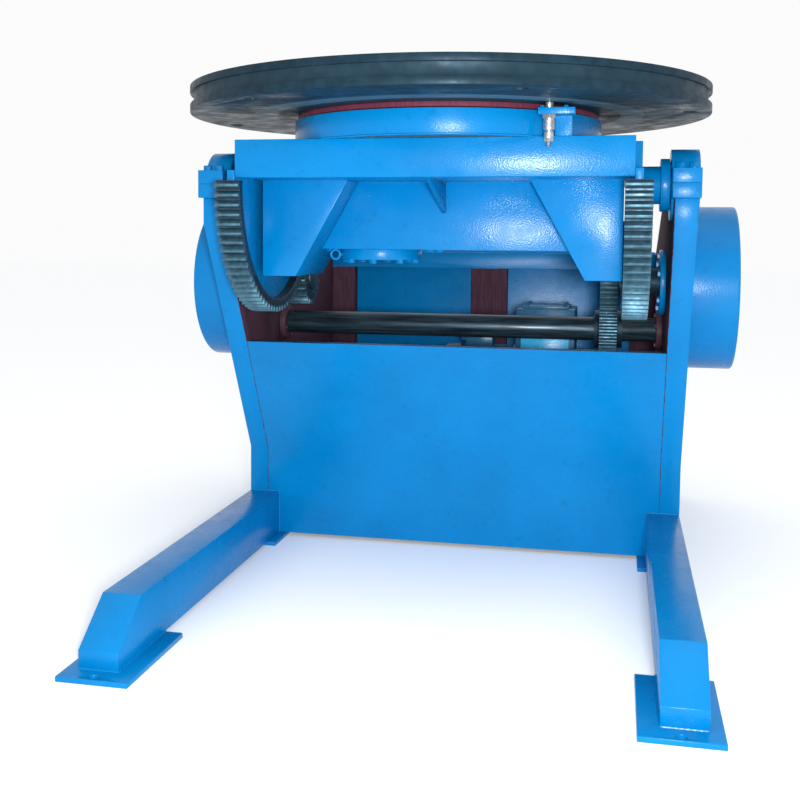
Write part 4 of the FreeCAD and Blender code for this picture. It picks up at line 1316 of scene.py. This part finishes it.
@dataclass
class SlewDrive(SubAssembly):
    """Slewing gearbox under the belly, its lifting eye and the slewing pinion."""

    body: str = "tilt_frame"
    bolt_circle: float = 100 * MM
    bolt_count: int = 8
    bolt_rise: float = 10 * MM
    bolt_head: Hexagon = Hexagon(19 * MM, 10.6 * MM)
    eye_turn: float = math.radians(57)
    eye_rise: float = 24 * MM
    eye_radius: float = 13 * MM
    eye_wire: float = 4 * MM
    eye_facets: int = 32
    shank_radius: float = 5 * MM
    shank_sides: int = 16
    shank_sunk: float = 2 * MM
    shank_length: float = 10 * MM
    shank_free: float = 7 * MM
    plug_head: Hexagon = Hexagon(19 * MM, 8.48 * MM)
    plug_places: tuple[float, ...] = (-0.337, -0.048, -0.022)
    plug_inset: float = 60 * MM

    def build(self) -> None:
        """Build the whole sub-assembly."""
        self.dress_all(["slew_gearbox"], self.plate_edge)
        self.dress_all(["slew_pinion"], self.tooth_edge)
        self.bolt_flange()
        self.hang_eye()
        self.plug_belly()

    def bolt_flange(self) -> None:
        """Hexagon heads under the flange's bolts."""
        middle = foot_of("slew_gearbox") + UP * self.bolt_rise
        places = on_circle(middle, -UP, self.bolt_circle, self.bolt_count)
        self.bolt("slew_flange_bolts", places, -UP, self.bolt_head)

    def plug_belly(self) -> None:
        """Hexagon plugs under the belly, on both sides of the flange."""
        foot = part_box("belly_box")[0]
        places = [(across, foot.y + self.plug_inset, foot.z) for across in self.plug_places]
        self.bolt("belly_plugs", places, -UP, self.plug_head)

    def hang_eye(self) -> None:
        """Eyebolt in the flange's rim."""
        low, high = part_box("slew_gearbox")
        away = Vector((-math.sin(self.eye_turn), -math.cos(self.eye_turn), 0))
        rim = foot_of("slew_gearbox") + UP * self.eye_rise + away * ((high.x - low.x) / 2)
        shank, ring = rim - away * self.shank_sunk, rim + away * (self.shank_free + self.eye_radius)
        wire = arc(0.0, self.eye_radius, self.eye_wire, ROUND_WIRE)
        radius = self.shank_radius
        shape = bmesh.new()
        add_disc(shape, shank, away, radius, radius, self.shank_length, self.shank_sides)
        add_turning(shape, wire, ring, BACK, self.eye_facets)
        make_piece("slew_eyebolt", shape, self.body, Slot.BLUE)


@dataclass
class Turntable(SubAssembly):
    """Faced table with its adapter and the geared ring of the bearing."""

    table_edge: float = 1.0 * MM

    def build(self) -> None:
        """Build the whole sub-assembly."""
        self.dress_all(["table"], self.table_edge)
        self.dress_all(["adapter_ring"], self.plate_edge, FRESH_PRIMER)
        self.dress_all(["geared_ring"], self.tooth_edge)


@dataclass
class PickUp(SubAssembly):
    """Spring-loaded current pick-up: bracket, rod, nut, sleeve and clamp screws."""

    body: str = "tilt_frame"
    rod_body: str = "pickup_rod"
    facets: int = 40
    bracket_edge: float = 1.2 * MM
    rod: float = 10 * MM
    collar: float = 12.5 * MM
    collar_length: float = 17 * MM
    stem: float = 6 * MM
    stem_length: float = 19 * MM
    stem_plain: float = 3 * MM
    thread: float = 2.4 * MM
    thread_start: float = 1.5 * MM
    thread_depth: float = 0.8 * MM
    chamfer: float = 1.0 * MM
    tip_chamfer: float = 1.5 * MM
    nut_flats: float = 22 * MM
    nut_length: float = 8 * MM
    nut_tip: float = 0.88
    clamp_thick: float = 16 * MM
    sleeve_bore: float = 12.5 * MM
    sleeve_skin: float = 14.1 * MM
    sleeve_start: float = 9 * MM
    sleeve_length: float = 38 * MM
    sleeve_taper: tuple[float, float] = (2 * MM, 1.5 * MM)
    hexagon_flats: float = 30 * MM
    hexagon_length: float = 8 * MM
    hexagon_tip: float = 0.86
    screw: Hexagon = Hexagon(10 * MM, 6 * MM)
    screw_insets: tuple[float, float, float] = (9 * MM, 22 * MM, 16 * MM)

    def build(self) -> None:
        """Build the whole sub-assembly."""
        self.dress_all(["brush_bracket"], self.bracket_edge)
        self.turn_rod()
        self.screw_clamp()
        self.turn_sleeve()

    def turn_rod(self) -> None:
        """Turned rod with a threaded stem and a hexagon nut."""
        low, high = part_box("brush_rod")
        at, total = foot_of("brush_rod"), high.z - low.z
        chamfer, tip = self.chamfer, self.tip_chamfer
        profile = [(0.0, 0.0), (0.0, self.stem - chamfer), (chamfer, self.stem)]
        for index in range(int((self.stem_length - self.stem_plain) / self.thread)):
            foot = self.thread_start + index * self.thread
            profile.append((foot + self.thread / 2, self.stem - self.thread_depth))
            profile.append((foot + self.thread, self.stem))
        step, shoulder = self.stem_length, self.stem_length + self.collar_length
        profile += [
            (step, self.stem), (step, self.collar - chamfer), (step + chamfer, self.collar),
            (shoulder - chamfer, self.collar), (shoulder, self.collar - chamfer),
            (shoulder, self.rod), (total - tip, self.rod), (total, self.rod - tip), (total, 0.0),
        ]
        shape = bmesh.new()
        add_turning(shape, profile, at, UP, self.facets)
        nut, corner = at + UP * (step - self.nut_length), self.nut_flats / math.sqrt(3)
        flat = self.nut_length - chamfer
        add_disc(shape, nut, UP, self.nut_tip * corner, corner, chamfer, HEX_SIDES)
        add_disc(shape, nut + UP * chamfer, UP, corner, corner, flat, HEX_SIDES)
        piece = make_piece("pickup_pin", shape, self.rod_body, Slot.BRIGHT)
        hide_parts("brush_rod")

    def turn_sleeve(self) -> None:
        """Plated guide sleeve with a hexagon collar under the clamp plate."""
        at = foot_of("brush_rod")
        at.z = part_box("brush_bracket")[1].z - self.clamp_thick
        start, end, bore, skin = (
            self.sleeve_start, self.sleeve_length, self.sleeve_bore, self.sleeve_skin
        )
        run, fall = self.sleeve_taper
        profile = [
            (start, bore), (start, skin), (end - run, skin), (end, skin - fall), (end, bore)
        ]
        corner, length = self.hexagon_flats / math.sqrt(3), self.hexagon_length
        tip = self.hexagon_tip * corner
        shape = bmesh.new()
        add_turning(shape, profile, at, -UP, self.facets)
        add_disc(shape, at, -UP, corner, corner, length, HEX_SIDES)
        add_disc(shape, at - UP * length, -UP, corner, tip, self.tip_chamfer, HEX_SIDES)
        make_piece("pickup_sleeve", shape, self.body, Slot.BRIGHT)

    def screw_clamp(self) -> None:
        """Two screws through the clamp plate, one on each side of the rod."""
        low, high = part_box("brush_bracket")
        left, right, front = self.screw_insets
        places = [(x, low.y + front, high.z) for x in (low.x + left, high.x - right)]
        self.bolt("pickup_screws", places, UP, self.screw)


@dataclass
class TiltTrain(SubAssembly):
    """Toothed sectors, pinions, wheels, the cross shaft and its gear."""

    body: str = "sync_shaft"
    tooth_depth: float = 18 * MM
    key_size: tuple[float, float, float] = (12 * MM, 14 * MM, 9 * MM)
    key_starts: tuple[float, float] = (4 * MM, 8 * MM)
    key_edge: float = 0.6 * MM

    def build(self) -> None:
        """Build the whole sub-assembly."""
        paired = ("tilt_pinion", "drive_wheel", "drive_pinion")
        wheels = [f"{part}_{side}" for side in SIDES for part in paired]
        for node in [*wheels, "cross_gear", "motor_pinion"]:
            self.dress_teeth(node, middle_of(node), radius_of(node))
        for side in SIDES:
            axis = middle_of(f"trunnion_{side}")
            self.dress_teeth(f"sector_{side}", axis, axis.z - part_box(f"sector_{side}")[0].z)
        self.dress_all(["cross_shaft"], self.tooth_edge)
        self.fit_key()

    def dress_teeth(self, node: str, axis: Vector, tip: float) -> None:
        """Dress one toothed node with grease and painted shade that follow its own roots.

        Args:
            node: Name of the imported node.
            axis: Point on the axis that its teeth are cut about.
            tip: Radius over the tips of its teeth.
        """
        name = f"hobbed steel {node.replace('_', ' ')}"
        finish = ToothedSteel(name, axis=(axis.y, axis.z), tip=tip, depth=self.tooth_depth)
        dress(node, self.tooth_edge, finish)

    def fit_key(self) -> None:
        """Both ends of the key between the cross gear's hub and its shaft."""
        low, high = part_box("cross_gear")
        middle, rise = middle_of("cross_gear"), radius_of("cross_shaft")
        size, (before, within) = Vector(self.key_size), self.key_starts
        shape = bmesh.new()
        for start in (low.x - before, high.x - within):
            foot = Vector((start, middle.y - size.y / 2, middle.z + rise - size.z / 2))
            add_box(shape, foot, foot + size, self.key_edge)
        make_piece("cross_gear_key", shape, self.body, Slot.SHAFT)


# -------------------------------------------------------------------- studio
@dataclass(frozen=True)
class Lamp:
    """Square area lamp: where it hangs, what it lights, its width and its power."""

    name: str
    place: tuple[float, float, float]
    target: tuple[float, float, float]
    size: float
    power: float


@dataclass
class Studio:
    """Camera, lights and the plain floor."""

    place: tuple[float, float, float] = (0.4648, -3.1508, 0.9626)
    heading: float = 12.4156
    dip: float = 4.2547
    roll: float = 0.4332
    lens: float = 49.34
    sensor: float = 36.0
    shift: tuple[float, float] = (0.0325, -0.1043)
    clip: tuple[float, float] = (0.05, 200.0)
    floor_half: float = 30.0
    floor_colour: str = "#f3f5f6"
    floor_rough: float = 0.9
    floor_glow: float = 0.07
    room_light: float = 0.97
    lamps: tuple[Lamp, ...] = (
        Lamp("front lamp", (0.6, -3.2, 0.94), (0.0, 0.0, 0.7), 0.24, 112.0),
        Lamp("top lamp", (0.6, -0.6, 4.6), (0.0, 0.0, 0.8), 3.0, 20.0),
    )

    def build(self) -> None:
        """Build the whole set."""
        self.lay_floor()
        self.light_room()
        for lamp in self.lamps:
            self.hang(lamp)
        self.point_camera()
        LOG.info("set up the studio")

    def lay_floor(self) -> None:
        """Wide floor of matt white board, lit a little so that it meets the white room."""
        shape = bmesh.new()
        bmesh.ops.create_grid(shape, x_segments=1, y_segments=1, size=self.floor_half)
        mesh = bpy.data.meshes.new("floor")
        shape.to_mesh(mesh)
        shape.free()
        pale = bpy.data.materials.new("pale floor")
        pale.use_nodes = True
        tree = pale.node_tree
        tree.nodes.clear()
        surface = add(tree, "BsdfPrincipled", {
            "Base Color": linear(self.floor_colour), "Roughness": self.floor_rough,
            "Emission Color": linear(WHITE), "Emission Strength": self.floor_glow,
        })
        add(tree, "OutputMaterial", {"Surface": surface})
        mesh.materials.append(pale)
        floor = bpy.data.objects.new("floor", mesh)
        bpy.context.scene.collection.objects.link(floor)

    def light_room(self) -> None:
        """Soft white light from all round, shown with its colours as they are."""
        world = bpy.data.worlds.new("studio")
        world.use_nodes = True
        tree = world.node_tree
        tree.nodes.clear()
        white = {"Color": linear(WHITE), "Strength": self.room_light}
        add(tree, "OutputWorld", {"Surface": add(tree, "Background", white)})
        bpy.context.scene.world = world
        bpy.context.scene.view_settings.view_transform = "Standard"

    def hang(self, lamp: Lamp) -> None:
        """Hang one square area lamp and aim it.

        Args:
            lamp: The lamp.
        """
        data = bpy.data.lights.new(lamp.name, "AREA")
        data.size, data.energy = lamp.size, lamp.power
        hung = bpy.data.objects.new(lamp.name, data)
        hung.location = lamp.place
        aim = Vector(lamp.target) - Vector(lamp.place)
        hung.rotation_euler = aim.to_track_quat("-Z", "Y").to_euler()
        bpy.context.scene.collection.objects.link(hung)

    def point_camera(self) -> None:
        """Camera in front of the machine, right of its middle, level with its tilt axis."""
        data = bpy.data.cameras.new("camera")
        data.lens = self.lens
        data.sensor_width = self.sensor
        data.shift_x, data.shift_y = self.shift
        data.clip_start, data.clip_end = self.clip
        camera = bpy.data.objects.new("camera", data)
        turn = (
            Matrix.Rotation(math.radians(self.heading), 4, "Z")
            @ Matrix.Rotation(math.radians(90 - self.dip), 4, "X")
            @ Matrix.Rotation(math.radians(self.roll), 4, "Z")
        )
        camera.matrix_world = Matrix.Translation(self.place) @ turn
        bpy.context.scene.collection.objects.link(camera)
        bpy.context.scene.camera = camera


def main() -> None:
    """Build the studio and every sub-assembly in order, logging each as it is built."""
    logging.basicConfig(level=logging.INFO, format="%(name)s: %(message)s")
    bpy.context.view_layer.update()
    Studio().build()
    for assembly in (
        Base(), Bearings(), GearCovers(), DriveUnit(), TiltFrame(), SlewDrive(), Turntable(),
        PickUp(), TiltTrain(),
    ):
        assembly.build()
        LOG.info("%s built", type(assembly).__name__)


if __name__ == "__main__":
    main()
